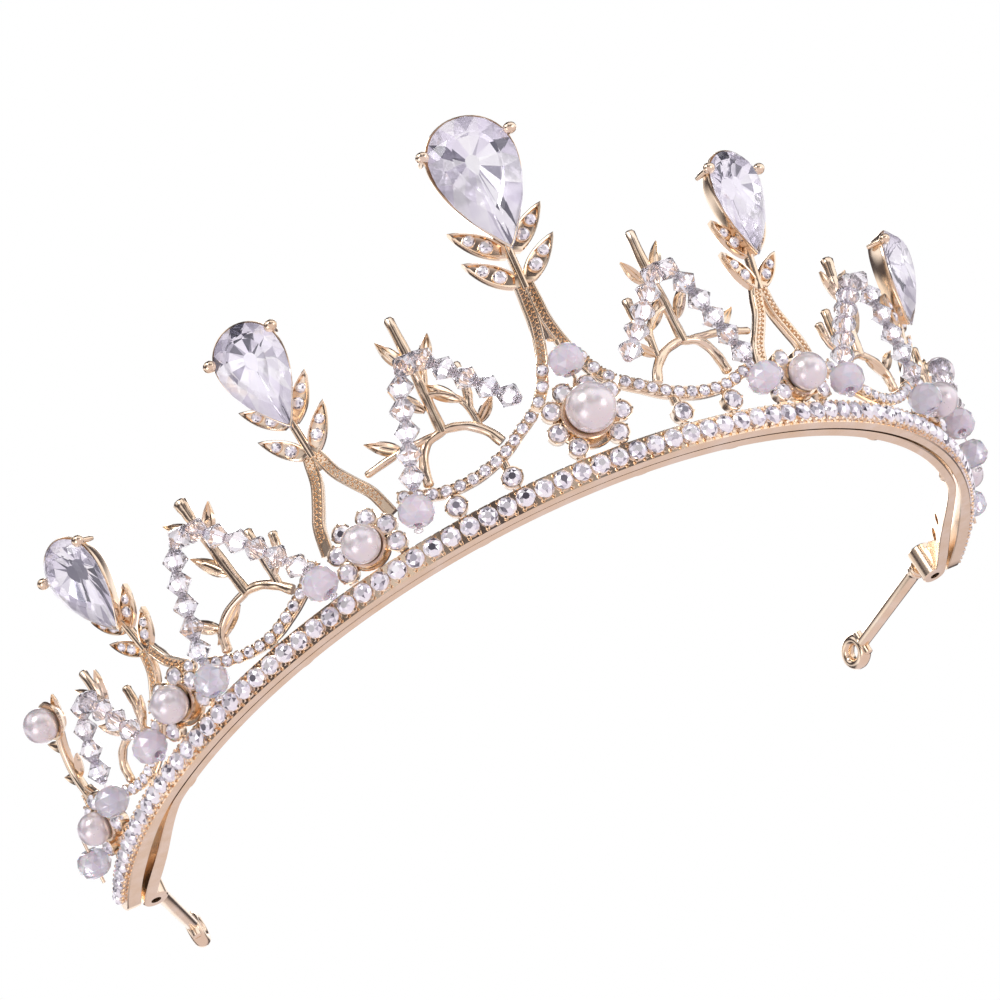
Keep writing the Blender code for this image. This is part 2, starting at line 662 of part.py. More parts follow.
def wire(path):
    """A thin round wire through flat crown points given as along, height and out."""
    sections = []
    for place, direction in zip(path, unit_directions(path)):
        first = np.cross(direction, (1.0, 0.0, 0.0) if abs(direction[0]) < 0.8 else (0.0, 0.0, 1.0))
        first /= np.linalg.norm(first)
        second = np.cross(direction, first)
        sections.append([np.array(place) + THREAD * (first * math.cos(math.tau * k / 6)
                                                     + second * math.sin(math.tau * k / 6)) for k in range(6)])
    return loft(sections)


def end_spire(name, spec):
    """The last spire: legs, a flower, and a leafy stem that leans forwards to a pearl on top."""
    shells = spire_base(spec) + [ribbon(spec["stem"], 1.3, 0.53, -0.62)]
    for foot, tip in spec["leaves"]:
        shells.append(leaf(foot, tip, spec["leaf_wide"], -0.5, 0.55))
    x, z = spec["top"]
    radius = spec["top_pearl"]
    shells.append(pearl_cup(x, z, radius, pearl_out(radius)))
    shells.append(disc(x, z, (1.7, 1.7), (-0.5, 0.3), 8))
    return fused(name, [on_crown(shell, spec["at"]) for shell in shells], GOLD)


def spire_frame(spec, height, out):
    """A matrix on a bent spire, with X along the band, Y inwards and Z up the spire."""
    lifted = out + SPIRE_BEND * (height - spec["fork"])
    tilt = Matrix.Rotation(math.atan(SPIRE_BEND), 4, "X")
    return crown_frame(spec["at"] * PITCH_UNITS, height, lifted) @ tilt


def crystal(name, spec):
    """A pear-cut crystal standing in its tray, with its origin at its foot."""
    width = spec["gem_wide"]
    length = spec["gem_long"]
    rings = [pear_ring(0.0, 0.0, width, length, 1.5, 0.3 + GAP / UNIT),
             pear_ring(0.0, 0.0, width, length, 0.0, 1.9),
             pear_ring(0.0, 0.0, width, length, 0.0, 2.3),
             pear_ring(0.0, 0.0, width, length, 0.26 * width, 4.1)]
    points, faces = loft(rings)
    local = [Vector((x, -out, z)) * UNIT for x, z, out in points]
    return new_object(name, (local, faces), CRYSTAL, spire_frame(spec, spec["gem_foot"], 0.0))


def pearl(name, radius, matrix):
    """A round pearl in its cup."""
    rows = 6
    sections = []
    for row in range(1, rows):
        turn = math.pi * row / rows
        sections.append([(radius * math.sin(turn) * math.cos(math.tau * k / 10) * UNIT,
                          radius * math.sin(turn) * math.sin(math.tau * k / 10) * UNIT,
                          radius * math.cos(turn) * UNIT) for k in range(10)])
    return new_object(name, loft(sections), PEARL, matrix, True)


def low_pearl(name, spec):
    """The pearl of a spire's flower."""
    radius = spec["pearl"]
    return pearl(name, radius, crown_frame(spec["at"] * PITCH_UNITS, spec["flower"], pearl_out(radius)))


# ---------------------------------------------------------------- swags, branches and strands


def swag(name, spec):
    """A stone-set arc between two spires, with its link stones and struts to the band."""
    path = np.array(spec["path"])
    low = CROWN_FOOT + GAP / UNIT
    shells = [ribbon(spec["path"], LEG_WIDE)]
    for place in spec["links"]:
        shells.append(stud(place, LINK_HEIGHT, LINK_RADIUS))
        shells.append(ribbon([(place, float(np.interp(place, path[:, 0], path[:, 1]))), (place, low)], 1.2, 0.5, -0.45))
    if not spec["links"]:
        x, z = path[path[:, 1].argmin()]
        shells.append(ribbon([(x, z), (x, low)], 1.4, 0.5, -0.45))
    return fused(name, [on_crown(shell) for shell in shells], GOLD)


def branch(name, spec):
    """A twig branch that stands on its swag, with ridged leaves and blunt tops."""
    shells = [twig(*part) for part in spec["twigs"]] + [leaf(*part) for part in spec["leaves"]]
    return fused(name, [on_crown(shell) for shell in shells], GOLD)


def bead_profile(length):
    """(distance, radius) along a thread of bicone beads that nearly touch."""
    count = max(1, round(length / BICONE_PITCH))
    pitch = length / count
    steps = [(0.0, THREAD)]
    for k in range(count):
        steps.append((k * pitch + 0.12 * pitch, BICONE_NECK))
        steps.append(((k + 0.5) * pitch, BICONE_RADIUS))
    steps.append((length - 0.12 * pitch, BICONE_NECK))
    steps.append((length, THREAD))
    return steps


def along_path(path, distance):
    """The point this far along a path."""
    ends = np.array(path, float)
    runs = np.concatenate([[0.0], np.cumsum(np.linalg.norm(np.diff(ends, axis=0), axis=1))])
    return [float(np.interp(distance, runs, ends[:, k])) for k in range(2)]


def path_length(path):
    return float(np.linalg.norm(np.diff(np.array(path, float), axis=0), axis=1).sum())


def opal_line(path, opal_at):
    """The middle of a threaded opal and the unit direction of its thread, in flat crown points."""
    last = np.array((*path[-1], STRAND_OUT))
    middle = np.array((*opal_at, OPAL_OUT))
    return middle, (middle - last) / np.linalg.norm(middle - last)


def strand_shell(path, opal_at):
    """One thread of beads, with the bare thread and stop bead that carry an opal."""
    places = []
    radii = []
    for distance, radius in bead_profile(path_length(path)):
        places.append((*along_path(path, distance), STRAND_OUT))
        radii.append(radius)
    if opal_at:
        middle, axis = opal_line(path, opal_at)
        for reach, radius in ((-OPAL_HALF - 0.5, THREAD), (OPAL_HALF + 0.3, THREAD), (OPAL_HALF + 0.5, 0.8),
                              (OPAL_HALF + 0.9, 0.8)):
            places.append(tuple(middle + axis * reach))
            radii.append(radius)
    sections = []
    for place, radius, direction in zip(places, radii, unit_directions(places)):
        first = np.cross(direction, (0.0, 0.0, 1.0))
        first /= np.linalg.norm(first)
        second = np.cross(direction, first)
        sections.append([np.array(place) + radius * (first * math.cos(math.tau * k / 6)
                                                     + second * math.sin(math.tau * k / 6)) for k in range(6)])
    return loft(sections)


def strand(name, spec):
    """The bead strands hung from one branch, joined where they cross its top."""
    shells = [strand_shell(spec[part], spec[part + "_opal"]) for part in ("inner", "outer")]
    return fused(name, [on_crown(shell) for shell in shells], BEAD)


def opal_matrix(path, opal_at):
    """An opal's place on its strand, with its hole along the thread."""
    middle, axis = opal_line(path, opal_at)
    turn = (crown_point(middle - axis) - crown_point(middle + axis)).to_track_quat("Z", "Y").to_matrix().to_4x4()
    return Matrix.Translation(crown_point(middle)) @ turn


def end_opal(name):
    """The last opal on each side, on its own wire."""
    start, stop = (crown_point(point) for point in END_WIRE[1:])
    middle = start.lerp(stop, END_OPAL)
    return opal(name, Matrix.Translation(middle) @ (start - stop).to_track_quat("Z", "Y").to_matrix().to_4x4())


def opal(name, matrix):
    points, faces = opal_shell()
    return new_object(name, ([Vector(point) * UNIT for point in points], faces), OPAL, matrix)


# ---------------------------------------------------------------- the whole tiara


def middle_pieces():
    """The pieces that lie on the tiara's middle plane or run across it."""
    front_band()
    band_stones()
    back_rail()
    centre = SPIRES["centre"]
    crystal_spire("spire_centre", centre)
    crystal("crystal_centre", centre)
    low_pearl("pearl_centre", centre)
    opal("opal_centre", crown_frame(*CENTRE_OPAL, OPAL_OUT))


def right_pieces():
    """The pieces of the right half, each of which has a mirror twin on the left."""
    made = [arm("arm_right")]
    for key in ("1", "2"):
        spec = SPIRES[key]
        made.append(crystal_spire("spire_right_" + key, spec))
        made.append(crystal("crystal_right_" + key, spec))
        made.append(low_pearl("pearl_right_" + key, spec))
    made.append(end_spire("end_spire_right", END_SPIRE))
    made.append(low_pearl("pearl_right_low", END_SPIRE))
    radius = END_SPIRE["top_pearl"]
    x, z = END_SPIRE["top"]
    made.append(pearl("pearl_right_top", radius,
                      crown_frame(x + END_SPIRE["at"] * PITCH_UNITS, z, pearl_out(radius))))
    made.append(new_object("end_wire_right", on_crown(wire(END_WIRE)), GOLD))
    made.append(end_opal("opal_right_end"))
    for key in SWAGS:
        made.append(swag("swag_right_" + key, SWAGS[key]))
        made.append(branch("branch_right_" + key, BRANCHES[key]))
    for key, spec in STRANDS.items():
        made.append(strand("strand_right_" + key, spec))
        for part in ("inner", "outer"):
            place = spec[part + "_opal"]
            if place:
                made.append(opal("opal_right_%s_%s" % (key, part), opal_matrix(spec[part], place)))
    return made


def mirror_twin(obj):
    """The left half's copy of a right-hand piece."""
    flip = Matrix.Scale(-1, 4, (1, 0, 0))
    mesh = obj.data.copy()
    mesh.transform(flip)
    mesh.flip_normals()
    twin = bpy.data.objects.new(obj.name.replace("right", "left"), mesh)
    bpy.context.scene.collection.objects.link(twin)
    twin.matrix_world = flip @ obj.matrix_world @ flip
    return twin


clear_scene()
middle_pieces()
for piece in right_pieces():
    mirror_twin(piece)
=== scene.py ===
import json
import math

import bmesh
import bpy
import numpy as np
from mathutils import Matrix, Vector

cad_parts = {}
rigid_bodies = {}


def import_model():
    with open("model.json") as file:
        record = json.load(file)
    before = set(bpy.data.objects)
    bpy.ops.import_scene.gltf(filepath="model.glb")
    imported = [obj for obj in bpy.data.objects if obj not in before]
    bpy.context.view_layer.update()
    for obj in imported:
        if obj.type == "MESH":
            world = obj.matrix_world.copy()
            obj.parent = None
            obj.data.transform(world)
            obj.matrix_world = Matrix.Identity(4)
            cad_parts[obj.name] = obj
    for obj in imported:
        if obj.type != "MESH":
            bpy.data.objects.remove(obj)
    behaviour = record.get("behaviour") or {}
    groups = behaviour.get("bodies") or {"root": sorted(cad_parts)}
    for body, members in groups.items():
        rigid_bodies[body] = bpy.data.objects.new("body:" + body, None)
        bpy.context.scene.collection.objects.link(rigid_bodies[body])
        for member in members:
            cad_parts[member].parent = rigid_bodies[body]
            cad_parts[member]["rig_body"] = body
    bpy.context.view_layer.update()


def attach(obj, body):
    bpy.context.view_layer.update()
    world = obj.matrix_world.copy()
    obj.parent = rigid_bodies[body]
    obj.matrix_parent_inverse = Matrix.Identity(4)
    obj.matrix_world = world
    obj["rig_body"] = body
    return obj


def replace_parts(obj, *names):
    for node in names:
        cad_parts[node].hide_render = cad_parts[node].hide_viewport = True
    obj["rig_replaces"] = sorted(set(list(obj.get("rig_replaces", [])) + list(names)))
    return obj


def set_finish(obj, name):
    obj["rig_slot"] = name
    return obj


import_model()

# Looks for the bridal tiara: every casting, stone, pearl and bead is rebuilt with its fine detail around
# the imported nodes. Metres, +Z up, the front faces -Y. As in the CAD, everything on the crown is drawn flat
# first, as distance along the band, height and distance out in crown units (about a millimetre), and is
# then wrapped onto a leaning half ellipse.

MM = 0.001
RANDOM = np.random.default_rng(7)

# Driving dimensions: the CAD's, but for the arm and its eye's wire, drawn thicker as in the photograph
PLAN_HALF_WIDTH = 72.2 * MM
PLAN_DEPTH = 75.4 * MM
LEAN = math.radians(12.5)
SPIRE_PITCH = 34.0 * MM
BAND_THICK = 1.3 * MM
BAND_TOP = 1.55 * MM
BAND_BOTTOM = 1.95 * MM
BAND_END_EXTRA = 0.9 * MM
BAND_TIP = 2.4 * MM
RAIL_THICK = 1.3 * MM
RAIL_END_THICK = 1.9 * MM
RAIL_HEIGHT = 2.6 * MM
RAIL_END_HEIGHT = 4.6 * MM
RAIL_SLOT = 1.0 * MM
BOSS_RADIUS = 2.0 * MM
BOSS_HEIGHT = 5.4 * MM
ARM_LENGTH = 28.0 * MM
ARM_RADIUS = 1.12 * MM
EYE_LONG = 2.4 * MM
EYE_TALL = 2.0 * MM
EYE_WIRE = 1.0 * MM
GAP = 0.3 * MM

PITCH_UNITS = 34.0
UNIT = SPIRE_PITCH / PITCH_UNITS
BAND_REACH = 3.44 * SPIRE_PITCH
STONE_COUNT = 84
STONE_PITCH = 2 * (BAND_REACH - 1.6 * UNIT) / STONE_COUNT
REST_RISE = BAND_BOTTOM
ORIGIN_BACK = 43.6 * MM
CROWN_FOOT = 1.55

# Spires: place along the band in pitches, then heights in crown units; stones is where the legs' stones start
SPIRES = {
    "centre": dict(at=0.0, fork=19.8, stem=27.6, neck=34.2, leaf_feet=(27.2, 31.7), leaf_tips=(32.9, 37.5),
              leaf_reach=6.2, leaf_wide=2.7, gem_foot=33.4, gem_long=17.7, gem_wide=11.3,
              flower=7.1, pearl=3.45, ring=((1.75, 3.9), (4.15, 2.1), (4.65, -1.0), (3.0, -3.8)),
              leg=((1.8, 17.3), (2.7, 15.3), (3.5, 13.4), (4.5, 11.9), (5.6, 10.6)), stones=15.6),
    "1": dict(at=0.988, fork=18.0, stem=20.4, neck=26.3, leaf_feet=(19.6, 24.6), leaf_tips=(25.3, 30.1),
              leaf_reach=4.9, leaf_wide=2.4, gem_foot=25.5, gem_long=13.8, gem_wide=8.4,
              flower=5.2, pearl=2.7, ring=((1.85, 3.0), (3.8, 0.9), (3.85, -1.85)),
              leg=((1.5, 15.9), (2.9, 13.2), (4.2, 10.8), (5.1, 7.1)), stones=8.6),
    "2": dict(at=2.03, fork=13.0, stem=15.5, neck=20.8, leaf_feet=(14.2, 18.2), leaf_tips=(18.9, 23.0),
              leaf_reach=4.1, leaf_wide=2.2, gem_foot=20.0, gem_long=13.4, gem_wide=8.2,
              flower=5.5, pearl=2.7, ring=((1.85, 2.9), (3.8, 0.7), (4.0, -2.2)),
              leg=((1.7, 11.3), (3.3, 9.4), (4.9, 7.8)), stones=8.4),
}
END_SPIRE = dict(at=2.926, fork=10.2, flower=5.6, pearl=2.45, ring=((1.75, 2.9), (3.75, 0.9), (3.6, -2.1)),
                 leg=((1.9, 8.9), (3.7, 7.6), (4.7, 6.6)), stones=7.2,
                 stem=((0.0, 9.8), (-0.4, 14.0), (-2.4, 17.6), (-5.2, 20.2)),
                 leaves=(((-0.2, 12.6), (3.2, 16.2)), ((-0.7, 13.6), (-4.4, 15.4)),
                         ((-2.4, 17.2), (0.8, 21.0)), ((-4.3, 19.5), (-3.3, 24.4)),
                         ((-5.7, 20.6), (-8.8, 23.4))),
                 leaf_wide=2.0, top_pearl=2.6, top=(-6.2, 20.9))

LEG_WIDE = 1.5  # narrower than the CAD's legs
SPIRE_BEND = 0.10
PLATE_FRONT = 0.35
PLATE_BACK = -0.85

# Swags: the middles of the stone-set arcs between neighbouring spires
SWAGS = {
    "1": dict(path=((6.2, 10.2), (7.6, 9.3), (9.2, 8.4), (10.8, 7.4), (12.5, 6.6), (14.4, 6.0), (16.3, 5.6),
                    (18.1, 5.5), (20.0, 5.6), (21.8, 6.0), (23.7, 6.8), (25.4, 7.6), (26.9, 8.4)),
              links=(12.7, 20.8)),
    "2": dict(path=((40.8, 7.7), (42.0, 6.6), (43.9, 5.4), (46.2, 4.3), (48.3, 3.6), (50.2, 3.1),
                    (52.0, 2.95), (53.8, 3.1), (55.7, 3.5), (57.7, 4.2), (59.6, 5.1), (62.6, 7.0)),
              links=()),
    "3": dict(path=((74.8, 6.5), (76.2, 5.4), (78.2, 4.2), (80.6, 3.2), (82.9, 2.85), (85.1, 3.0),
                    (87.3, 3.6), (89.6, 4.7), (91.7, 5.7), (93.1, 6.3)),
              links=()),
}
LINK_RADIUS = 1.55
LINK_HEIGHT = 3.3

# Branches: twigs as (radius at the start, radius at the end, points), leaves as (foot, tip, width)
BRANCHES = {
    "1": dict(twigs=((0.75, 0.6, ((11.5, 8.5), (12.5, 10.6), (14.3, 12.4), (16.3, 13.3), (18.0, 13.6))),
                     (0.6, 0.75, ((17.6, 13.5), (20.3, 12.9), (21.9, 10.6), (22.6, 7.9))),
                     (0.75, 0.7, ((17.8, 13.2), (17.5, 18.5), (17.1, 24.5), (17.0, 30.6))),
                     (0.6, 0.55, ((19.0, 13.4), (23.5, 13.7), (28.7, 13.4))),
                     (0.55, 0.5, ((17.5, 18.9), (15.3, 17.9), (13.4, 15.4), (13.1, 11.0))),
                     (0.55, 0.75, ((13.3, 14.6), (12.5, 17.0), (12.3, 20.9))),
                     (0.5, 0.45, ((17.3, 19.5), (15.6, 23.4)))),
              leaves=(((18.0, 23.6), (19.9, 28.6), 1.9), ((15.8, 22.8), (13.6, 26.5), 1.8),
                      ((23.4, 13.6), (27.3, 17.1), 2.0), ((16.9, 20.0), (13.7, 15.7), 2.1),
                      ((18.5, 17.0), (21.4, 21.8), 1.9), ((12.9, 12.3), (9.9, 14.9), 1.7))),
    "2": dict(twigs=((0.75, 0.65, ((45.3, 6.3), (46.8, 8.2), (49.0, 9.8), (51.4, 10.4))),
                     (0.6, 0.75, ((51.0, 10.3), (54.4, 9.9), (57.2, 8.4), (58.3, 5.9))),
                     (0.8, 0.7, ((51.0, 10.0), (51.4, 14.5), (51.8, 20.5), (51.9, 24.0))),
                     (0.6, 1.0, ((51.9, 22.0), (52.0, 26.0))),
                     (0.6, 0.75, ((46.5, 8.0), (46.4, 12.0), (46.3, 16.6))),
                     (0.5, 0.7, ((46.4, 9.6), (44.3, 11.6), (43.5, 14.2)))),
              leaves=(((52.3, 20.9), (55.7, 25.0), 1.9), ((51.5, 19.4), (48.4, 23.4), 2.2),
                      ((51.7, 13.6), (55.0, 18.9), 2.1), ((57.2, 8.6), (61.6, 12.8), 2.0),
                      ((53.0, 9.6), (58.8, 7.2), 1.9))),
    "3": dict(twigs=((0.7, 0.6, ((77.4, 6.0), (78.6, 7.6), (80.6, 8.7), (82.4, 8.9))),
                     (0.6, 0.7, ((82.0, 8.9), (84.7, 8.5), (86.6, 7.2), (87.4, 5.0))),
                     (0.75, 0.7, ((82.0, 8.6), (82.0, 13.0), (81.8, 20.3))),
                     (0.55, 0.7, ((78.4, 7.4), (76.9, 10.3), (76.4, 13.3)))),
              leaves=(((82.1, 15.0), (84.8, 19.8), 1.9), ((81.6, 14.6), (79.0, 18.9), 2.0),
                      ((82.1, 9.6), (85.4, 13.6), 1.9), ((78.5, 7.7), (74.6, 10.8), 1.8))),
}

# Strands: each thread runs from the branch top down to its foot; the opal sits near the end
STRANDS = {
    "1": dict(inner=((16.8, 24.0), (14.6, 21.0), (12.2, 17.8), (9.8, 14.7), (7.6, 12.0)),
              outer=((16.8, 24.0), (18.9, 22.6), (20.4, 19.4), (21.4, 16.0), (22.9, 12.0), (24.4, 7.8)),
              inner_opal=None, outer_opal=(25.5, 4.9)),
    "2": dict(inner=((52.0, 21.8), (49.4, 18.6), (46.8, 15.2), (44.2, 11.2), (41.4, 6.5)),
              outer=((52.0, 21.8), (54.8, 20.9), (56.7, 17.6), (58.0, 13.8), (59.3, 10.4), (60.7, 6.3)),
              inner_opal=(40.7, 3.9), outer_opal=(61.1, 3.4)),
    "3": dict(inner=((81.8, 17.0), (80.2, 14.0), (78.9, 10.6), (77.2, 6.6)),
              outer=((81.8, 17.0), (84.6, 14.6), (87.0, 11.4), (89.2, 7.2)),
              inner_opal=(76.2, 3.8), outer_opal=(90.0, 4.3)),
}
CENTRE_OPAL = (0.0, 14.6)
CENTRE_WIRE = ((0.0, 19.0, 0.0), (0.0, 17.6, 3.0), (0.0, 11.9, 3.0), (0.0, 10.9, 0.4))
END_WIRE = ((103.8, 7.9, 2.3), (104.4, 6.8, 3.0), (107.9, 1.0, 3.0))
END_OPAL = 0.53
STRAND_OUT = 2.75
OPAL_OUT = 3.0
OPAL_HALF = 2.0
THREAD = 0.25
OPAL_HOLE = 0.65
BICONE_RADIUS = 1.72
BICONE_PITCH = 3.2

# Fine detail, in crown units
CUP_RADIUS = 1.45
GEM_SHARE = 0.84  # of a stone to its cup
PRONG = 0.24
GRAIN = 0.27  # milgrain beads on the stems and upper legs
GRAIN_PITCH = 0.8
LEG_STONE = 0.82
LEG_STONE_PITCH = 1.85
BAND_STONE = 1.3
TIP_STONE_SHRINK = 0.22


# ---------------------------------------------------------------- the leaning ellipse


def ellipse_table():
    """Distance along half the row of stones, with the place and heading reached there."""
    turn = np.linspace(0.0, math.radians(125), 1251)
    x = PLAN_HALF_WIDTH * np.sin(turn)
    y = PLAN_DEPTH * (1 - np.cos(turn))
    heading = np.arctan2(PLAN_DEPTH * np.sin(turn), PLAN_HALF_WIDTH * np.cos(turn))
    steps = np.hypot(np.diff(x), np.diff(y))
    return np.concatenate([[0.0], np.cumsum(steps)]), x, y, heading


ALONG, ROW_X, ROW_Y, HEADING = ellipse_table()


def row_frame(along):
    """The point of the row this far from the middle, with its along, up and outward directions."""
    side = -1.0 if along < 0 else 1.0
    reach = abs(along)
    heading = side * float(np.interp(reach, ALONG, HEADING))
    x = side * float(np.interp(reach, ALONG, ROW_X))
    y = float(np.interp(reach, ALONG, ROW_Y)) - ORIGIN_BACK
    tangent = Vector((math.cos(heading), math.sin(heading), 0.0))
    level = Vector((math.sin(heading), -math.cos(heading), 0.0))
    up = level * math.sin(LEAN) + Vector((0, 0, math.cos(LEAN)))
    out = level * math.cos(LEAN) - Vector((0, 0, math.sin(LEAN)))
    return Vector((x, y, REST_RISE)), tangent, up, out


def wrapped(along, height, out):
    """A flat point, in metres, put on the leaning ellipse."""
    point, _, up, outward = row_frame(along)
    return point + up * height + outward * out


def crown_height(height):
    """Crown units above the stones into metres, keeping the crown's foot on the band's top edge."""
    return BAND_TOP + (height - CROWN_FOOT) * UNIT


def crown_point(point):
    """A flat point in crown units, as along, height and out, put on the leaning ellipse."""
    along, height, out = point
    return wrapped(along * UNIT, crown_height(height), out * UNIT)


def crown_frame(along, height, out):
    """A matrix with X along the band, Y inwards and Z up the lean, at a flat crown point."""
    _, tangent, up, outward = row_frame(along * UNIT)
    axes = Matrix((tangent, -outward, up)).transposed().to_4x4()
    return Matrix.Translation(crown_point((along, height, out))) @ axes


def on_crown(shell, place=0.0, bend_from=math.inf):
    """A flat shell moved this many spire pitches to the right, bent outwards above a height, and wrapped."""
    points, faces = shell
    return [crown_point((x + place * PITCH_UNITS, z, out + SPIRE_BEND * max(0.0, z - bend_from)))
            for x, z, out in points], faces


# ---------------------------------------------------------------- closed shells


def ring_faces(rings, count):
    """Side faces between neighbouring rings of count points, and a cap on each end."""
    faces = []
    for ring in range(rings - 1):
        for k in range(count):
            a = ring * count + k
            b = ring * count + (k + 1) % count
            faces.append((a, b, b + count, a + count))
    faces.append(tuple(reversed(range(count))))
    faces.append(tuple(range((rings - 1) * count, rings * count)))
    return faces


def loft(sections):
    """A closed shell through rings of points, all with the same count."""
    points = [tuple(point) for section in sections for point in section]
    return points, ring_faces(len(sections), len(sections[0]))


def loop_faces(rings, count):
    """Faces of a tube that closes on itself, through rings of points with the same count."""
    faces = []
    for ring in range(rings):
        here = ring * count
        after = ((ring + 1) % rings) * count
        for k in range(count):
            nxt = (k + 1) % count
            faces.append((here + k, after + k, after + nxt, here + nxt))
    return faces


def facet_sides(rings, count):
    """Triangles between rings that are each turned half a step from the ring before."""
    faces = []
    for ring in range(rings - 1):
        for k in range(count):
            a = ring * count + k
            b = ring * count + (k + 1) % count
            faces.append((a, b, a + count))
            faces.append((b, b + count, a + count))
    return faces


def facet_loft(rings):
    """A closed faceted shell; each ring is turned half a step from the ring before."""
    count = len(rings[0])
    points = [tuple(point) for ring in rings for point in ring]
    faces = facet_sides(len(rings), count)
    faces.append(tuple(reversed(range(count))))
    faces.append(tuple(range((len(rings) - 1) * count, len(rings) * count)))
    return points, faces


def smooth_path(path, steps=4):
    """The path with curved points added between its own."""
    ends = np.array(path, float)
    padded = np.vstack([2 * ends[0] - ends[1], ends, 2 * ends[-1] - ends[-2]])
    found = []
    for a, b, c, d in zip(padded, padded[1:], padded[2:], padded[3:]):
        for share in np.arange(steps) / steps:
            found.append(0.5 * (2 * b + (c - a) * share + (2 * a - 5 * b + 4 * c - d) * share ** 2
                                + (3 * b - a - 3 * c + d) * share ** 3))
    found.append(ends[-1])
    return np.array(found)


def unit_directions(path):
    """The direction of a path at each of its points."""
    ends = np.array(path, float)
    steps = np.diff(ends, axis=0)
    steps /= np.linalg.norm(steps, axis=1)[:, None]
    mean = np.vstack([steps[:1], steps[:-1] + steps[1:], steps[-1:]])
    return mean / np.linalg.norm(mean, axis=1)[:, None]


def path_runs(path):
    """The distance reached at each point of a path."""
    return np.concatenate([[0.0], np.cumsum(np.linalg.norm(np.diff(np.array(path, float), axis=0), axis=1))])


def spaced(path, pitch, start=0.5):
    """Evenly spaced points along a path, with the path's direction at each."""
    runs = path_runs(path)
    count = max(1, round((runs[-1] - 2 * start * pitch) / pitch) + 1)
    reach = np.linspace(start * pitch, runs[-1] - start * pitch, count)
    ends = np.array(path, float)
    ways = unit_directions(path)
    return [([np.interp(r, runs, ends[:, k]) for k in range(ends.shape[1])],
             [np.interp(r, runs, ways[:, k]) for k in range(ends.shape[1])]) for r in reach]


def ball(centre, radius, sides=8, rows=5):
    """A small ball in flat crown points."""
    x, z, out = centre
    sections = []
    for row in range(1, rows):
        turn = math.pi * row / rows
        ring = radius * math.sin(turn)
        sections.append([(x + ring * math.cos(math.tau * k / sides),
                          z + ring * math.sin(math.tau * k / sides),
                          out - radius * math.cos(turn)) for k in range(sides)])
    return loft(sections)


def round_stack(x, z, radii, outs, sides=20):
    """A round stack that faces out, through these radii at these distances out."""
    return loft([[(x + radius * math.cos(math.tau * k / sides),
                   z + radius * math.sin(math.tau * k / sides), out) for k in range(sides)]
                 for radius, out in zip(radii, outs)])


def ribbon(path, width, front=PLATE_FRONT, back=PLATE_BACK, crown=0.18):
    """A strip of the crown with rounded edges and a slightly raised middle."""
    sections = []
    for (x, z), (dx, dz) in zip(path, unit_directions(path)):
        half = width / 2
        outline = ((1.0, back + 0.2), (1.0, front - 0.2), (0.86, front), (0.4, front + crown),
                   (-0.4, front + crown), (-0.86, front), (-1.0, front - 0.2), (-1.0, back + 0.2),
                   (-0.8, back), (0.8, back))
        sections.append([(x - dz * side * half, z + dx * side * half, out) for side, out in outline])
    return loft(sections)


def round_twig(start, end, path, out=0.0):
    """A smooth twig with a knuckled surface and a rounded blunt top."""
    smooth = smooth_path(path, 5)
    share = np.linspace(0, 1, len(smooth))
    radii = start + (end - start) * share
    radii = radii * (1 + 0.06 * np.sin(share * 19))
    sections = []
    for (x, z), (dx, dz), radius in zip(smooth, unit_directions(smooth), radii):
        sections.append(twig_ring(x, z, dx, dz, radius, out))
    x, z = smooth[-1]
    dx, dz = unit_directions(smooth)[-1]
    sections.append(twig_ring(x + 0.3 * dx, z + 0.3 * dz, dx, dz, radii[-1] * 0.75, out))
    sections.append(twig_ring(x + 0.42 * dx, z + 0.42 * dz, dx, dz, radii[-1] * 0.3, out))
    return loft(sections)


def twig_ring(x, z, dx, dz, radius, out, sides=10):
    """A ring of points round a twig that runs this way."""
    return [(x - dz * radius * math.cos(math.tau * k / sides),
             z + dx * radius * math.cos(math.tau * k / sides),
             out + radius * math.sin(math.tau * k / sides)) for k in range(sides)]


def leaf_outline(foot, tip, width, count=9):
    """A pointed leaf's foot, run and direction across, with its half widths at shares along the run."""
    foot = np.array(foot, float)
    tip = np.array(tip, float)
    way = (tip - foot) / np.linalg.norm(tip - foot)
    across = np.array((-way[1], way[0]))
    shares = np.linspace(0.0, 1.0, count)
    wides = width / 2 * np.sin(np.pi * (0.06 + 0.94 * shares) ** 0.85) ** 0.8
    wides[-1] = 0.0
    return foot, tip - foot, across, shares, wides


def grooved_leaf(foot, tip, width, out=0.0, deep=0.6):
    """A pointed leaf with a raised edge, a groove on each side and a vein along it."""
    foot, run, across, shares, wides = leaf_outline(foot, tip, width)
    sections = []
    for share, wide in zip(shares, wides):
        middle = foot + run * share
        wide = max(wide, 0.05)
        lift = 0.35 * share * share
        outline = ((1.0, 0.0), (0.72, 0.75), (0.35, 0.3), (0.0, 0.62), (-0.35, 0.3), (-0.72, 0.75),
                   (-1.0, 0.0), (-0.6, -0.75), (0.0, -1.0), (0.6, -0.75))
        depth = deep * (0.35 + 0.65 * min(1.0, wide / (0.4 * width)))
        sections.append([(*(middle + across * side * wide), out + lift + level * depth)
                         for side, level in outline])
    return loft(sections)


def rimmed_leaf(foot, tip, width, out=0.1):
    """A leaf-shaped tray with a raised rim, which holds two stones."""
    foot, run, across, shares, wides = leaf_outline(foot, tip, width, 13)
    edge = [foot + run * share + across * wide for share, wide in zip(shares, wides)]
    edge += [foot + run * share - across * wide for share, wide in zip(shares[-2:0:-1], wides[-2:0:-1])]
    edge = np.array(edge)
    middle = foot + run * 0.5
    sections = []
    for share, level in ((0.8, -0.75), (0.97, -0.5), (1.0, 0.45), (0.93, 0.62), (0.8, 0.55), (0.74, 0.1),
                         (0.5, 0.05)):
        ring = middle + (edge - middle) * share
        sections.append([(x, z, out + level) for x, z in ring])
    return loft(sections)


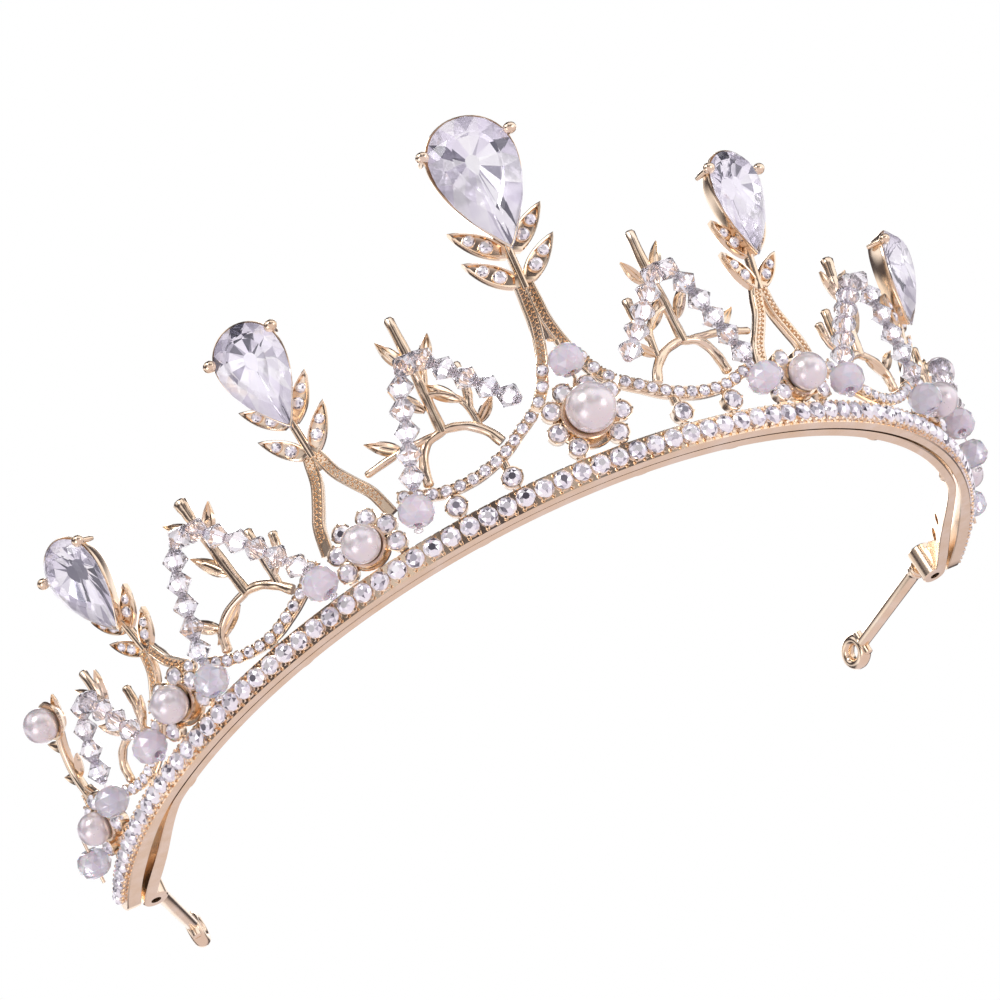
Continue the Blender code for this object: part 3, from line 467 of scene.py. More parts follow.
def round_gem(x, z, radius, out, count=8):
    """A round cut stone that faces out: a girdle, two rows of crown facets and a table."""
    tilt = RANDOM.uniform(-0.09, 0.09, 2)
    turn = RANDOM.uniform(0, math.tau)
    rings = []
    for j, (share, level) in enumerate(((1.0, -0.35), (1.0, 0.0), (0.99, 0.12), (0.74, 0.4), (0.38, 0.58))):
        ring = []
        for k in range(count):
            angle = turn + math.tau * (k + 0.5 * j) / count
            dx = radius * share * math.cos(angle)
            dz = radius * share * math.sin(angle)
            ring.append((x + dx, z + dz, out + level * radius + tilt[0] * dx + tilt[1] * dz))
        rings.append(ring)
    return facet_loft(rings)


def stone_cup(x, z, radius, base, top, sides=18):
    """A round cup with an open top that a stone sits in."""
    return round_stack(x, z, (0.86 * radius, 0.97 * radius, radius, 0.9 * radius, 0.84 * radius),
                       (base, base + 0.25, top, top + 0.05, top - 0.35), sides)


def cup_prongs(x, z, radius, top, count=4):
    """Little balls over the edge of a stone, which hold it in its cup."""
    turn = RANDOM.uniform(0, math.tau)
    return [ball((x + radius * 0.93 * math.cos(turn + math.tau * k / count),
                  z + radius * 0.93 * math.sin(turn + math.tau * k / count), top + 0.05), PRONG, 6, 4)
            for k in range(count)]


def set_stone(x, z, radius, base=-0.5, top=1.05):
    """The gold cup with prongs, and the stone in it."""
    gold = [stone_cup(x, z, radius, base, top)] + cup_prongs(x, z, radius, top)
    return gold, [round_gem(x, z, radius * GEM_SHARE, top - 0.05)]


def milgrain(path, front):
    """Two staggered rows of grains along a strip."""
    shells = []
    for k, ((x, z), (dx, dz)) in enumerate(spaced(path, GRAIN_PITCH / 2)):
        aside = GRAIN if k % 2 else -GRAIN
        shells.append(ball((x - dz * aside, z + dx * aside, front), GRAIN, 7, 5))
    return shells


# ---------------------------------------------------------------- objects


MATERIALS = {}


def piece(name, shells, finish, slot, body, node=None, sharp=38, matrix=None):
    """One visual piece joined from closed shells, which rides on a body and may stand for a CAD node."""
    points = []
    faces = []
    for shell_points, shell_faces in shells:
        start = len(points)
        points.extend(tuple(point) for point in shell_points)
        faces.extend(tuple(index + start for index in face) for face in shell_faces)
    mesh = bpy.data.meshes.new(name)
    mesh.from_pydata(points, [], faces)
    work = bmesh.new()
    work.from_mesh(mesh)
    bmesh.ops.recalc_face_normals(work, faces=work.faces[:])
    work.to_mesh(mesh)
    work.free()
    mesh.materials.append(MATERIALS[finish])
    # a random value on each face, which the stone and foil materials turn into painted reflections
    tone = mesh.attributes.new("tone", "FLOAT", "FACE")
    tone.data.foreach_set("value", RANDOM.random(len(mesh.polygons)))
    mesh.polygons.foreach_set("use_smooth", [sharp > 0] * len(mesh.polygons))
    if sharp:
        mesh.set_sharp_from_angle(angle=math.radians(sharp))
    obj = bpy.data.objects.new(name, mesh)
    bpy.context.scene.collection.objects.link(obj)
    if matrix is not None:
        obj.matrix_world = matrix
    return declared(obj, slot, body, node)


def declared(obj, slot, body, node):
    """Ties a piece to its body, its material slot and the node it stands for."""
    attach(obj, body)
    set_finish(obj, slot)
    if node:
        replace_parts(obj, node)
    return obj


def mirror_twin(obj, body, node=None):
    """The left half's copy of a right-hand piece."""
    flip = Matrix.Scale(-1, 4, (1, 0, 0))
    mesh = obj.data.copy()
    mesh.transform(flip)
    mesh.flip_normals()
    twin = bpy.data.objects.new(obj.name.replace("right", "left"), mesh)
    bpy.context.scene.collection.objects.link(twin)
    twin.matrix_world = flip @ obj.matrix_world @ flip
    return declared(twin, obj["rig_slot"], body, node)


# ---------------------------------------------------------------- band, rail and arms


def height_of_level(level, out):
    """The wrapped height of a point this far above the stones' middle and this far out."""
    return (level + out * math.sin(LEAN)) / math.cos(LEAN)


def band_section(along, outline):
    """Points of a band section, from (level above the stones' middle, distance out) pairs."""
    return [wrapped(along, height_of_level(level, out), out) for level, out in outline]


def end_share(along, start, stop):
    """0 up to the start and 1 from the stop, both as shares of the band's half length."""
    return min(1.0, max(0.0, (abs(along) / BAND_REACH - start) / (stop - start)))


def band_back(along):
    """How far in the band's back face lies from the middle of the stones."""
    share = end_share(along, 0.70, 0.88)
    return BAND_THICK / 2 + BAND_END_EXTRA * share * share * (3 - 2 * share)


def band_shell():
    """The front band: a polished strip with soft edges and rounded tips."""
    front = BAND_THICK / 2
    tips = [1.0, 0.996, 0.989]
    steps = list(np.linspace(-1, 1, 201) * (BAND_REACH - BAND_TIP))
    sections = []
    for place in [-BAND_REACH * tip for tip in tips] + steps + [BAND_REACH * tip for tip in reversed(tips)]:
        beyond = max(0.0, abs(place) - (BAND_REACH - BAND_TIP)) / BAND_TIP
        drop = 0.45 * BAND_TIP * (1 - math.sqrt(max(0.0, 1 - beyond * beyond)))
        top = BAND_TOP * math.cos(LEAN) - drop
        low = -BAND_BOTTOM + drop
        back = -band_back(place)
        edge = 0.16 * MM
        outline = ((top, front - edge), (top - edge, front), (low + edge, front), (low, front - edge),
                   (low, back + edge), (low + edge, back), (top - edge, back), (top, back + edge))
        sections.append(band_section(place, outline))
    return loft(sections)


def band_gem_places():
    """Along and radius of each stone of the band, in crown units."""
    for k in range(STONE_COUNT):
        along = (k + 0.5 - STONE_COUNT / 2) * STONE_PITCH
        yield along / UNIT, BAND_STONE * (1.0 - TIP_STONE_SHRINK * end_share(along, 0.8, 1.0))


def band_point(point):
    """A flat point beside the stones, in crown units measured from their middle."""
    return wrapped(point[0] * UNIT, point[1] * UNIT, point[2] * UNIT)


def on_band(shell):
    """A shell drawn flat on the band, wrapped onto it."""
    points, faces = shell
    return [band_point(point) for point in points], faces


def band_pieces():
    """The band with its prongs, the stones, and the strip of cups between them."""
    cup_base = BAND_THICK / 2 / UNIT - 0.1
    cup_top = cup_base + 0.5
    gold = [band_shell()]
    stones = []
    for along, radius in band_gem_places():
        gold.append(on_band(stone_cup(along, 0.0, radius, cup_base, cup_top, 14)))
        stones.append(on_band(round_gem(along, 0.0, 1.01 * radius, cup_top + 0.12)))
        for side in (-1, 1):
            for step in (-0.22, 0.22):
                place = (along + STONE_PITCH / UNIT * (0.5 + step), side * 0.98 * radius, cup_top + 0.08)
                gold.append(on_band(ball(place, 0.27, 6, 4)))
    piece("front_band_gold", gold, "gold", "gold", "tiara", "front_band")
    piece("band_stones_cut", stones, "stone", "crystal", "tiara", "band_stones", 0)


RAIL_REACH = 0.99 * BAND_REACH


def rail_place(along):
    """The rail's outer face and thickness, both measured inwards from the middle of the stones."""
    slot = RAIL_SLOT * math.sin(math.pi * end_share(along, 0.72, RAIL_REACH / BAND_REACH))
    thick = RAIL_THICK + (RAIL_END_THICK - RAIL_THICK) * end_share(along, 0.7, 0.9)
    return band_back(along) + GAP + slot, thick


def rail_level(along, share):
    """A level on the rail's wall, from 0 on its underside to 1 on its top."""
    height = RAIL_HEIGHT + (RAIL_END_HEIGHT - RAIL_HEIGHT) * end_share(along, 0.72, 0.86)
    return -BAND_BOTTOM + share * height


def rail_shell():
    """The back rail's wall, with eased edges."""
    sections = []
    edge = 0.14 * MM
    for place in np.linspace(-RAIL_REACH, RAIL_REACH, 181):
        outer, thick = rail_place(place)
        top = rail_level(place, 1.0)
        low = -BAND_BOTTOM
        outline = ((low, -outer - edge), (low + edge, -outer), (top - edge, -outer), (top, -outer - edge),
                   (top, -outer - thick + edge), (top - edge, -outer - thick), (low + edge, -outer - thick),
                   (low, -outer - thick + edge))
        sections.append(band_section(place, outline))
    return loft(sections)


def solder_lump(along):
    """A low smooth lump of solder under the rail's inner edge."""
    outer, thick = rail_place(along)
    sections = []
    for share in np.linspace(-1, 1, 9):
        swell = math.sqrt(max(0.0, 1 - share * share))
        base = -BAND_BOTTOM + (0.6 - 0.5 * swell) * MM
        back = -outer - thick - (0.02 + 0.43 * swell) * MM
        front = -outer - 0.3 * MM
        middle = (base + 0.55 * MM)
        outline = ((base, front), (base, back + 0.2 * MM), (base + 0.2 * MM, back), (middle + 0.3 * MM, back),
                   (base + 1.1 * MM, back + 0.2 * MM), (base + 1.1 * MM, front))
        sections.append(band_section(along + 2.2 * share * MM, outline))
    return loft(sections)


def rail_end(side):
    """The middle of the boss at one end of the rail, on the resting plane."""
    outer, _ = rail_place(RAIL_REACH)
    middle = -outer - GAP - BOSS_RADIUS
    point = wrapped(side * RAIL_REACH, height_of_level(0.0, middle), middle)
    return Vector((point.x, point.y, 0.0))


def upright_stack(centre, radii, heights, sides=28):
    """A round stack that stands up, through these radii at these heights."""
    return loft([[(centre.x + radius * math.cos(math.tau * k / sides),
                   centre.y + radius * math.sin(math.tau * k / sides), height) for k in range(sides)]
                 for radius, height in zip(radii, heights)])


def rail_slot(along, half_long):
    """A cutter for a rounded slot through the rail's wall."""
    outer, thick = rail_place(along)
    sections = []
    for out in (-outer + 0.5 * GAP, -outer - thick - MM):
        ring = []
        for k in range(20):
            turn = math.tau * (k + 0.5) / 20
            level = rail_level(along, 0.55 + 0.22 * math.sin(turn))
            ring.append(wrapped(along + half_long * math.cos(turn), height_of_level(level, out), out))
        sections.append(ring)
    return loft(sections)


def plain_mesh(name, shell):
    """A loose mesh object, used for a cut and then removed."""
    mesh = bpy.data.meshes.new(name)
    mesh.from_pydata([tuple(point) for point in shell[0]], [], shell[1])
    work = bmesh.new()
    work.from_mesh(mesh)
    bmesh.ops.recalc_face_normals(work, faces=work.faces[:])
    work.to_mesh(mesh)
    work.free()
    obj = bpy.data.objects.new(name, mesh)
    bpy.context.scene.collection.objects.link(obj)
    return obj


def combined(shells, cutters):
    """One shell made from joined shells with the cutters taken away."""
    base = plain_mesh("join_base", shells[0])
    extra = []
    for operation, group in (("UNION", shells[1:]), ("DIFFERENCE", cutters)):
        for shell in group:
            other = plain_mesh("join_extra", shell)
            change = base.modifiers.new(operation.lower(), "BOOLEAN")
            change.operation = operation
            change.solver = "EXACT"
            change.object = other
            extra.append(other)
    bpy.context.view_layer.update()
    made = base.evaluated_get(bpy.context.evaluated_depsgraph_get()).to_mesh()
    shell = [tuple(vertex.co) for vertex in made.vertices], [tuple(face.vertices) for face in made.polygons]
    for other in extra + [base]:
        bpy.data.objects.remove(other)
    return shell


def rail_piece():
    """The strip behind the band, with solder lumps, end slots and a boss with a hole at each end."""
    shells = [rail_shell()]
    cutters = []
    for side in (-1, 1):
        centre = rail_end(side)
        edge = 0.2 * MM
        radii = (BOSS_RADIUS - edge, BOSS_RADIUS, BOSS_RADIUS, BOSS_RADIUS - edge)
        shells.append(upright_stack(centre, radii, (0.0, edge, BOSS_HEIGHT - edge, BOSS_HEIGHT)))
        cutters.append(upright_stack(centre, (0.8 * MM, 0.8 * MM), (-MM, BOSS_HEIGHT + MM), 20))
        for share, half_long in ((0.85, 0.9 * MM), (0.9, 1.5 * MM)):
            cutters.append(rail_slot(side * share * BAND_REACH, half_long))
    lumps = [solder_lump(share * BAND_REACH) for share in (-0.68, -0.43, -0.17, 0.04, 0.17, 0.43, 0.68)]
    piece("back_rail_gold", [combined(shells, cutters)] + lumps, "gold", "gold", "tiara", "back_rail", 34)


def arm_frame():
    """The right arm's start behind the rail's boss, and its direction."""
    _, tangent, _, _ = row_frame(BAND_REACH)
    direction = (tangent + Vector((-0.28, 0.0, 0.0))).normalized()
    start = rail_end(1) + direction * (BOSS_RADIUS + GAP)
    start.z = 0.62 * BOSS_HEIGHT
    return start, direction


def round_rod(path, radii, sides=20):
    """A round rod through world points that lie in one upright plane."""
    directions = unit_directions(path)
    level = Vector((0, 0, 1)) if abs(directions[0][2]) < 0.7 else Vector((1, 0, 0))
    flat = Vector(directions[0]).cross(level).normalized()
    sections = []
    for point, direction, radius in zip(path, directions, radii):
        other = flat.cross(Vector(direction))
        sections.append([Vector(point) + flat * radius * math.cos(math.tau * k / sides)
                         + other * radius * math.sin(math.tau * k / sides) for k in range(sides)])
    return loft(sections)


def eye_ring(centre, direction, up, around=40, sides=14):
    """An oval ring of thick wire in the plane of two directions."""
    across = direction.cross(up)
    points = []
    for k in range(around):
        turn = math.tau * (k + 0.5) / around
        spoke = direction * math.cos(turn) + up * math.sin(turn)
        middle = centre + direction * EYE_LONG * math.cos(turn) + up * EYE_TALL * math.sin(turn)
        for j in range(sides):
            spin = math.tau * j / sides
            points.append(middle + spoke * EYE_WIRE * math.cos(spin)
                          + across * 1.2 * EYE_WIRE * math.sin(spin))
    return points, loop_faces(around, sides)


def arm_piece():
    """The right end arm: a stepped collar, a round rod, a crossbar at its neck and an upright eye."""
    start, direction = arm_frame()
    up = direction.cross(Vector((0, 0, 1))).normalized().cross(direction)
    neck = ARM_LENGTH - 2 * EYE_LONG - EYE_WIRE
    reaches = (0.0, 0.12 * MM, 0.6 * MM, 0.7 * MM, 0.8 * MM, 1.3 * MM, 1.4 * MM, 2.0 * MM, 0.5 * neck, neck)
    radii = (1.2 * MM, 1.35 * MM, 1.35 * MM, 1.2 * MM, 1.35 * MM, 1.35 * MM, 1.2 * MM, ARM_RADIUS,
             0.96 * ARM_RADIUS, 0.9 * ARM_RADIUS)
    rod = round_rod([start + direction * reach for reach in reaches], radii)
    eye = eye_ring(start + direction * (neck + EYE_LONG), direction, up)
    half = 2.2 * MM
    heights = [half * share for share in (-1.0, -0.93, 0.93, 1.0)]
    bar = round_rod([start + direction * (neck - 0.3 * MM) + up * height for height in heights],
                    [0.55 * MM, 0.75 * MM, 0.75 * MM, 0.55 * MM], 16)
    return piece("arm_right_gold", [rod, bar, eye], "gold", "gold", "tiara", "arm_right", 50)


# ---------------------------------------------------------------- spires and their flowers


def pearl_out(radius):
    """How far out the middle of a flower's pearl stands, in crown units."""
    return radius + 0.2


def pearl_cup(x, z, radius):
    """A shallow round cup with a rim behind a pearl, a gap away from it all round."""
    centre = pearl_out(radius)
    clear = radius + GAP / UNIT
    shells = ((clear + 0.55, 12), (clear + 0.6, 40), (clear + 0.55, 58), (clear + 0.28, 62), (clear, 58),
              (clear, 40), (clear, 12))
    radii = [shell * math.sin(math.radians(turn)) for shell, turn in shells]
    outs = [centre - shell * math.cos(math.radians(turn)) for shell, turn in shells]
    return round_stack(x, z, radii, outs, 28)


def flower_shells(radius, height, ring):
    """A pearl's cup with the stones round it, on a disc, and two posts down to the band."""
    low = CROWN_FOOT + GAP / UNIT
    reach = min(math.hypot(*ring[1]) - 0.1, height - low)
    gold = [round_stack(0.0, height, (reach - 0.15, reach, reach, reach - 0.15),
                        (-0.6, -0.45, 0.1, 0.25), 28),
            pearl_cup(0.0, height, radius)]
    stones = []
    for turned in (-1, 1):
        for x, rise in ring:
            cup, gem = set_stone(turned * x, height + rise, CUP_RADIUS)
            gold += cup
            stones += gem
        x, rise = ring[-1]
        gold.append(ribbon([(turned * x, height + rise), (turned * (x + 0.2), low)], 1.3, 0.5, -0.45))
    return gold, stones


def legs_shells(spec):
    """The two legs, side by side up the stem: grains on their upper part, small stones lower down."""
    fork = spec["fork"]
    head = spec.get("leaf_feet", (fork + 0.6,))[0] + 0.5
    rise = head - fork
    leg = [(0.45, head), (0.62, fork + 0.6 * rise), (0.85, fork + 0.2 * rise)] + list(spec["leg"])
    gold = []
    stones = []
    for turned in (-1, 1):
        path = smooth_path([(turned * x, z) for x, z in leg], 6)
        gold.append(ribbon(path, LEG_WIDE, PLATE_FRONT, PLATE_BACK, 0.0))
        for edge in (-1, 1):
            gold.append(raised_edge(path, edge * 0.42 * LEG_WIDE))
        upper = path[path[:, 1] >= spec["stones"]]
        lower = path[path[:, 1] < spec["stones"] + 0.4]
        gold += milgrain(upper[1:], PLATE_FRONT + 0.1)
        if len(lower) > 3:
            cups, gems = stone_row(lower)
            gold += cups
            stones += gems
    return gold, stones


def raised_edge(path, aside):
    """A thin round rim along a strip, this far to one side of its middle."""
    ways = unit_directions(path)
    edge = [(x - dz * aside, z + dx * aside, PLATE_FRONT + 0.05) for (x, z), (dx, dz) in zip(path, ways)]
    return wire(edge, 0.2)


def stone_row(path):
    """Small stones side by side on a strip, with grains between them on both edges."""
    gold = []
    stones = []
    top = PLATE_FRONT + 0.42
    places = spaced(path, LEG_STONE_PITCH, 0.45)
    for (x, z), (dx, dz) in places:
        gold.append(stone_cup(x, z, LEG_STONE + 0.1, 0.1, top, 14))
        stones.append(round_gem(x, z, LEG_STONE * 0.95, top + 0.02))
        for side in (-1, 1):
            for step in (-0.5, 0.5):
                gold.append(ball((x + dx * step * LEG_STONE_PITCH * 0.86 - dz * side * 0.62,
                                  z + dz * step * LEG_STONE_PITCH * 0.86 + dx * side * 0.62,
                                  top + 0.06), 0.2, 6, 4))
    return gold, stones


def spire_top(spec):
    """The stem, and four rimmed leaves with two stones each."""
    stem = [(0.0, spec["fork"] - 0.4), (0.0, spec["stem"])]
    neck = [(0.0, spec["stem"] - 1.0), (0.0, spec["neck"])]
    gold = [ribbon(smooth_path(stem, 8), 1.6, 0.2, -0.6), ribbon(smooth_path(neck, 6), 1.1, 0.65, -0.4)]
    stones = []
    for turned in (-1, 1):
        for foot, tip in zip(spec["leaf_feet"], spec["leaf_tips"]):
            start = np.array((turned * 0.25, foot))
            stop = np.array((turned * spec["leaf_reach"], tip))
            gold.append(rimmed_leaf(start, stop, spec["leaf_wide"]))
            for share, size in ((0.37, 0.34), (0.65, 0.29)):
                x, z = start + (stop - start) * share
                radius = size * spec["leaf_wide"]
                stones.append(round_gem(x, z, radius, 0.5))
                gold.append(stone_cup(x, z, radius + 0.08, 0.05, 0.48, 12))
    return gold, stones


PEAR_POINTS = 18


def pear_at(width, length, share):
    """A point round a teardrop with its foot at the origin; share 0 is the foot."""
    turn = math.pi * (share % 1.0)
    widest = 4 / math.sqrt(27)  # the most that sin(2t) * sin(t) reaches
    return Vector((width / 2 * math.sin(2 * turn) * math.sin(turn) / widest, length * math.sin(turn) ** 2))


def pear_ring(width, length, inset, out, half=0.0, count=PEAR_POINTS):
    """The pear outline shrunk by an inset, at one distance out; half turns it by half a step."""
    middle = length - width / 2
    share = 1 - 2 * inset / width
    ring = []
    for k in range(count):
        point = pear_at(width, length, (k + half) / count)
        ring.append((point.x * share, middle + (point.y - middle) * share, out))
    return ring


def spread(spec):
    """How much wider the leaning crown is at a crystal's widest place than at the band."""
    height = spec["gem_foot"] + 0.67 * spec["gem_long"]
    along = spec["at"] * PITCH_UNITS
    reach = crown_point((along + 1, height, 0)) - crown_point((along - 1, height, 0))
    return reach.length / (2 * UNIT)


def gem_tray(foot, width, length, narrowed):
    """The pear-shaped tray behind a crystal, with a bright rolled rim round it."""
    steps = ((1.2, -0.6), (0.2, -0.55), (-0.25, 0.2), (-0.55, 1.5), (-0.64, 1.8), (-0.6, 2.05), (-0.52, 2.1),
             (-0.44, 2.0), (-0.1, 1.2), (0.6, 0.2), (2.0, -0.2))
    sections = [[(x / narrowed, foot + z, out)
                 for x, z, out in pear_ring(width, length, inset, level, 0.0, 60)]
                for inset, level in steps]
    return loft(sections)


def claw(x, z):
    """A tapered claw with a ball on top, beside a crystal."""
    return [round_stack(x, z, (0.3, 0.42, 0.42, 0.4), (-0.2, 0.6, 2.0, 2.4), 12),
            ball((x, z, 2.75), 0.82, 16, 10)]


def spire_pieces(name, spec):
    """The gold and the stones of one crystal spire."""
    width = spec["gem_wide"]
    length = spec["gem_long"]
    gold = []
    stones = []
    for made in (legs_shells(spec), flower_shells(spec["pearl"], spec["flower"], spec["ring"]),
                 spire_top(spec)):
        gold += made[0]
        stones += made[1]
    narrowed = spread(spec)
    gold.append(gem_tray(spec["gem_foot"], width, length, narrowed))
    for turned in (-1, 1):
        gold += claw(turned * (width / 2 + 0.5) / narrowed, spec["gem_foot"] + length - 0.3 * width)
    if name == "spire_centre":
        gold.append(wire(CENTRE_WIRE))
    place = [on_crown(shell, spec["at"], spec["fork"]) for shell in gold]
    gems = [on_crown(shell, spec["at"], spec["fork"]) for shell in stones]
    return [piece(name + "_gold", place, "gold", "gold", "tiara", name),
            piece(name + "_stones", gems, "stone", "crystal", "tiara", None, 0)]


def wire(path, radius=THREAD):
    """A thin round wire through flat crown points given as along, height and out."""
    sections = []
    for place, direction in zip(path, unit_directions(path)):
        first = np.cross(direction, (1.0, 0.0, 0.0) if abs(direction[0]) < 0.8 else (0.0, 0.0, 1.0))
        first /= np.linalg.norm(first)
        second = np.cross(direction, first)
        turns = [math.tau * k / 10 for k in range(10)]
        sections.append([np.array(place) + radius * (first * math.cos(turn) + second * math.sin(turn))
                         for turn in turns])
    return loft(sections)


def end_spire_pieces(name, spec):
    """The last spire: legs, a flower, and a leafy stem that leans forwards to a pearl on top."""
    gold = []
    stones = []
    for made in (legs_shells(spec), flower_shells(spec["pearl"], spec["flower"], spec["ring"])):
        gold += made[0]
        stones += made[1]
    gold.append(ribbon(smooth_path(spec["stem"], 6), 1.3, 0.53, -0.62))
    for foot, tip in spec["leaves"]:
        gold.append(grooved_leaf(foot, tip, spec["leaf_wide"], -0.5, 0.55))
    x, z = spec["top"]
    gold.append(pearl_cup(x, z, spec["top_pearl"]))
    gold.append(round_stack(x, z, (1.7, 1.7), (-0.5, 0.3), 20))
    gold = [on_crown(shell, spec["at"]) for shell in gold]
    stones = [on_crown(shell, spec["at"]) for shell in stones]
    return [piece(name + "_gold", gold, "gold", "gold", "tiara", name),
            piece(name + "_stones", stones, "stone", "crystal", "tiara", None, 0)]


def spire_frame(spec, height, out):
    """A matrix on a bent spire, with X along the band, Y inwards and Z up the spire."""
    lifted = out + SPIRE_BEND * (height - spec["fork"])
    tilt = Matrix.Rotation(math.atan(SPIRE_BEND), 4, "X")
    return crown_frame(spec["at"] * PITCH_UNITS, height, lifted) @ tilt


GIRDLE = -0.66  # inset of a crystal's widest place
CRYSTAL_RINGS = ((0.47, 0.0), (0.24, 0.8), (0.0, 2.1), (0.0, 2.3), (0.10, 3.15), (0.18, 3.7),
                 (0.26, 4.1))  # added inset as a share of the width, distance out
FOILED = 2  # of these rows, how many lie behind the widest place


def crystal_piece(name, spec):
    """A pear-cut crystal: clear faces in front and foiled faces behind."""
    width = spec["gem_wide"]
    length = spec["gem_long"]
    rings = [pear_ring(width, length, GIRDLE + inset * width, out, 0.5 * j)
             for j, (inset, out) in enumerate(CRYSTAL_RINGS)]
    points, faces = facet_loft(rings)
    local = [Vector((x, -out, z)) * UNIT for x, z, out in points]
    obj = piece(name + "_cut", [(local, faces)], "crystal", "crystal", "tiara", name, 0,
                spire_frame(spec, spec["gem_foot"], 0.0))
    obj.data.materials.append(MATERIALS["foil"])
    foil_level = -(CRYSTAL_RINGS[FOILED][1] + 0.01) * UNIT
    for face in obj.data.polygons:
        behind = all(obj.data.vertices[index].co.y > foil_level for index in face.vertices)
        face.material_index = 1 if behind else 0
    return obj


def pearl_piece(name, radius, matrix):
    """A round pearl with a drilled dimple at the back."""
    rows = 26
    sides = 40
    sections = []
    for row in range(1, rows):
        turn = math.pi * row / rows
        sections.append([(radius * math.sin(turn) * math.cos(math.tau * k / sides) * UNIT,
                          radius * math.cos(turn) * UNIT,
                          radius * math.sin(turn) * math.sin(math.tau * k / sides) * UNIT)
                         for k in range(sides)])
    dimple = 0.3 * radius
    sections.insert(0, [(dimple * 0.5 * math.cos(math.tau * k / sides) * UNIT, (radius - 0.5) * UNIT,
                         dimple * 0.5 * math.sin(math.tau * k / sides) * UNIT) for k in range(sides)])
    return piece(name + "_round", [loft(sections)], "pearl", "pearl", "tiara", name, 50, matrix)


def low_pearl(name, spec):
    """The pearl of a spire's flower."""
    radius = spec["pearl"]
    return pearl_piece(name, radius, crown_frame(spec["at"] * PITCH_UNITS, spec["flower"], pearl_out(radius)))


# ---------------------------------------------------------------- swags, branches and strands


def swag_pieces(name, spec):
    """A stone-set arc between two spires, with its link stones and struts to the band."""
    path = np.array(spec["path"])
    low = CROWN_FOOT + GAP / UNIT
    smooth = smooth_path(path, 4)
    gold = [ribbon(smooth, LEG_WIDE)]
    cups, stones = stone_row(smooth)
    gold += cups
    for place in spec["links"]:
        cup, gem = set_stone(place, LINK_HEIGHT, LINK_RADIUS)
        gold += cup
        stones += gem
        high = float(np.interp(place, path[:, 0], path[:, 1]))
        gold.append(ribbon([(place, high), (place, low)], 1.2, 0.5, -0.45))
    if not spec["links"]:
        x, z = path[path[:, 1].argmin()]
        gold.append(ribbon([(x, z), (x, low)], 1.4, 0.5, -0.45))
    return [piece(name + "_gold", [on_crown(shell) for shell in gold], "gold", "gold", "tiara", name),
            piece(name + "_stones", [on_crown(shell) for shell in stones], "stone", "crystal", "tiara",
                  None, 0)]


def branch_piece(name, spec):
    """A twig branch that stands on its swag, with veined leaves and blunt tops."""
    shells = [round_twig(*part) for part in spec["twigs"]] + [grooved_leaf(*part) for part in spec["leaves"]]
    return piece(name + "_gold", [on_crown(shell) for shell in shells], "gold", "gold", "tiara", name, 60)


def faceted_bead(place, direction, profile, count):
    """A faceted bead about a thread, from (distance along, radius) pairs."""
    first = np.cross(direction, (0.0, 0.0, 1.0))
    first /= np.linalg.norm(first)
    second = np.cross(direction, first)
    turn = RANDOM.uniform(0, math.tau)
    rings = []
    for j, (reach, radius) in enumerate(profile):
        rings.append([np.array(place) + direction * reach
                      + radius * (first * math.cos(turn + math.tau * (k + 0.5 * j) / count)
                                  + second * math.sin(turn + math.tau * (k + 0.5 * j) / count))
                      for k in range(count)])
    return facet_loft(rings)


BICONE = ((-1.6, 0.62), (-0.12, BICONE_RADIUS), (0.12, BICONE_RADIUS), (1.6, 0.62))
SEED = ((-0.3, 0.35), (-0.15, 0.6), (0.15, 0.6), (0.3, 0.35))


def opal_line(path, opal_at):
    """The middle of a threaded opal and the unit direction of its thread, in flat crown points."""
    last = np.array((*path[-1], STRAND_OUT))
    middle = np.array((*opal_at, OPAL_OUT))
    return middle, (middle - last) / np.linalg.norm(middle - last)


def strand_shells(path, opal_at):
    """One thread of cut beads with seed beads between them, and the stop bead under an opal."""
    flat = [(x, z, STRAND_OUT) for x, z in path]
    runs = path_runs(flat)
    count = max(1, round(runs[-1] / BICONE_PITCH))
    pitch = runs[-1] / count
    ends = np.array(flat)
    shells = []
    thread = list(flat)
    for k in range(count + 1):
        for reach, profile, sides in ((k * pitch, SEED, 8), ((k + 0.5) * pitch, BICONE, 8)):
            if reach > runs[-1] + 0.01:
                continue
            place = [float(np.interp(reach, runs, ends[:, j])) for j in range(3)]
            ahead = [float(np.interp(reach + 0.2, runs, ends[:, j])) for j in range(3)]
            behind = [float(np.interp(reach - 0.2, runs, ends[:, j])) for j in range(3)]
            way = np.array(ahead) - np.array(behind)
            shells.append(faceted_bead(place, way / np.linalg.norm(way), profile, sides))
    if opal_at:
        middle, axis = opal_line(path, opal_at)
        thread += [tuple(middle - axis * (OPAL_HALF + 0.5)), tuple(middle + axis * (OPAL_HALF + 0.4))]
        shells.append(faceted_bead(middle + axis * (OPAL_HALF + 0.65), axis, SEED, 8))
    return shells, [wire(thread, 0.16)]


def strand_piece(name, spec):
    """The bead strands hung from one branch."""
    shells = []
    for part in ("inner", "outer"):
        beads, thread = strand_shells(spec[part], spec[part + "_opal"])
        shells += beads + thread
    return piece(name + "_beads", [on_crown(shell) for shell in shells], "bead", "clear_bead", "tiara",
                 name, 0)


OPAL_PROFILE = ((OPAL_HOLE, 1.85), (1.3, 2.0), (2.03, 1.45), (2.48, 0.64), (2.48, -0.64), (2.03, -1.45),
                (1.3, -2.0), (OPAL_HOLE, -1.85))


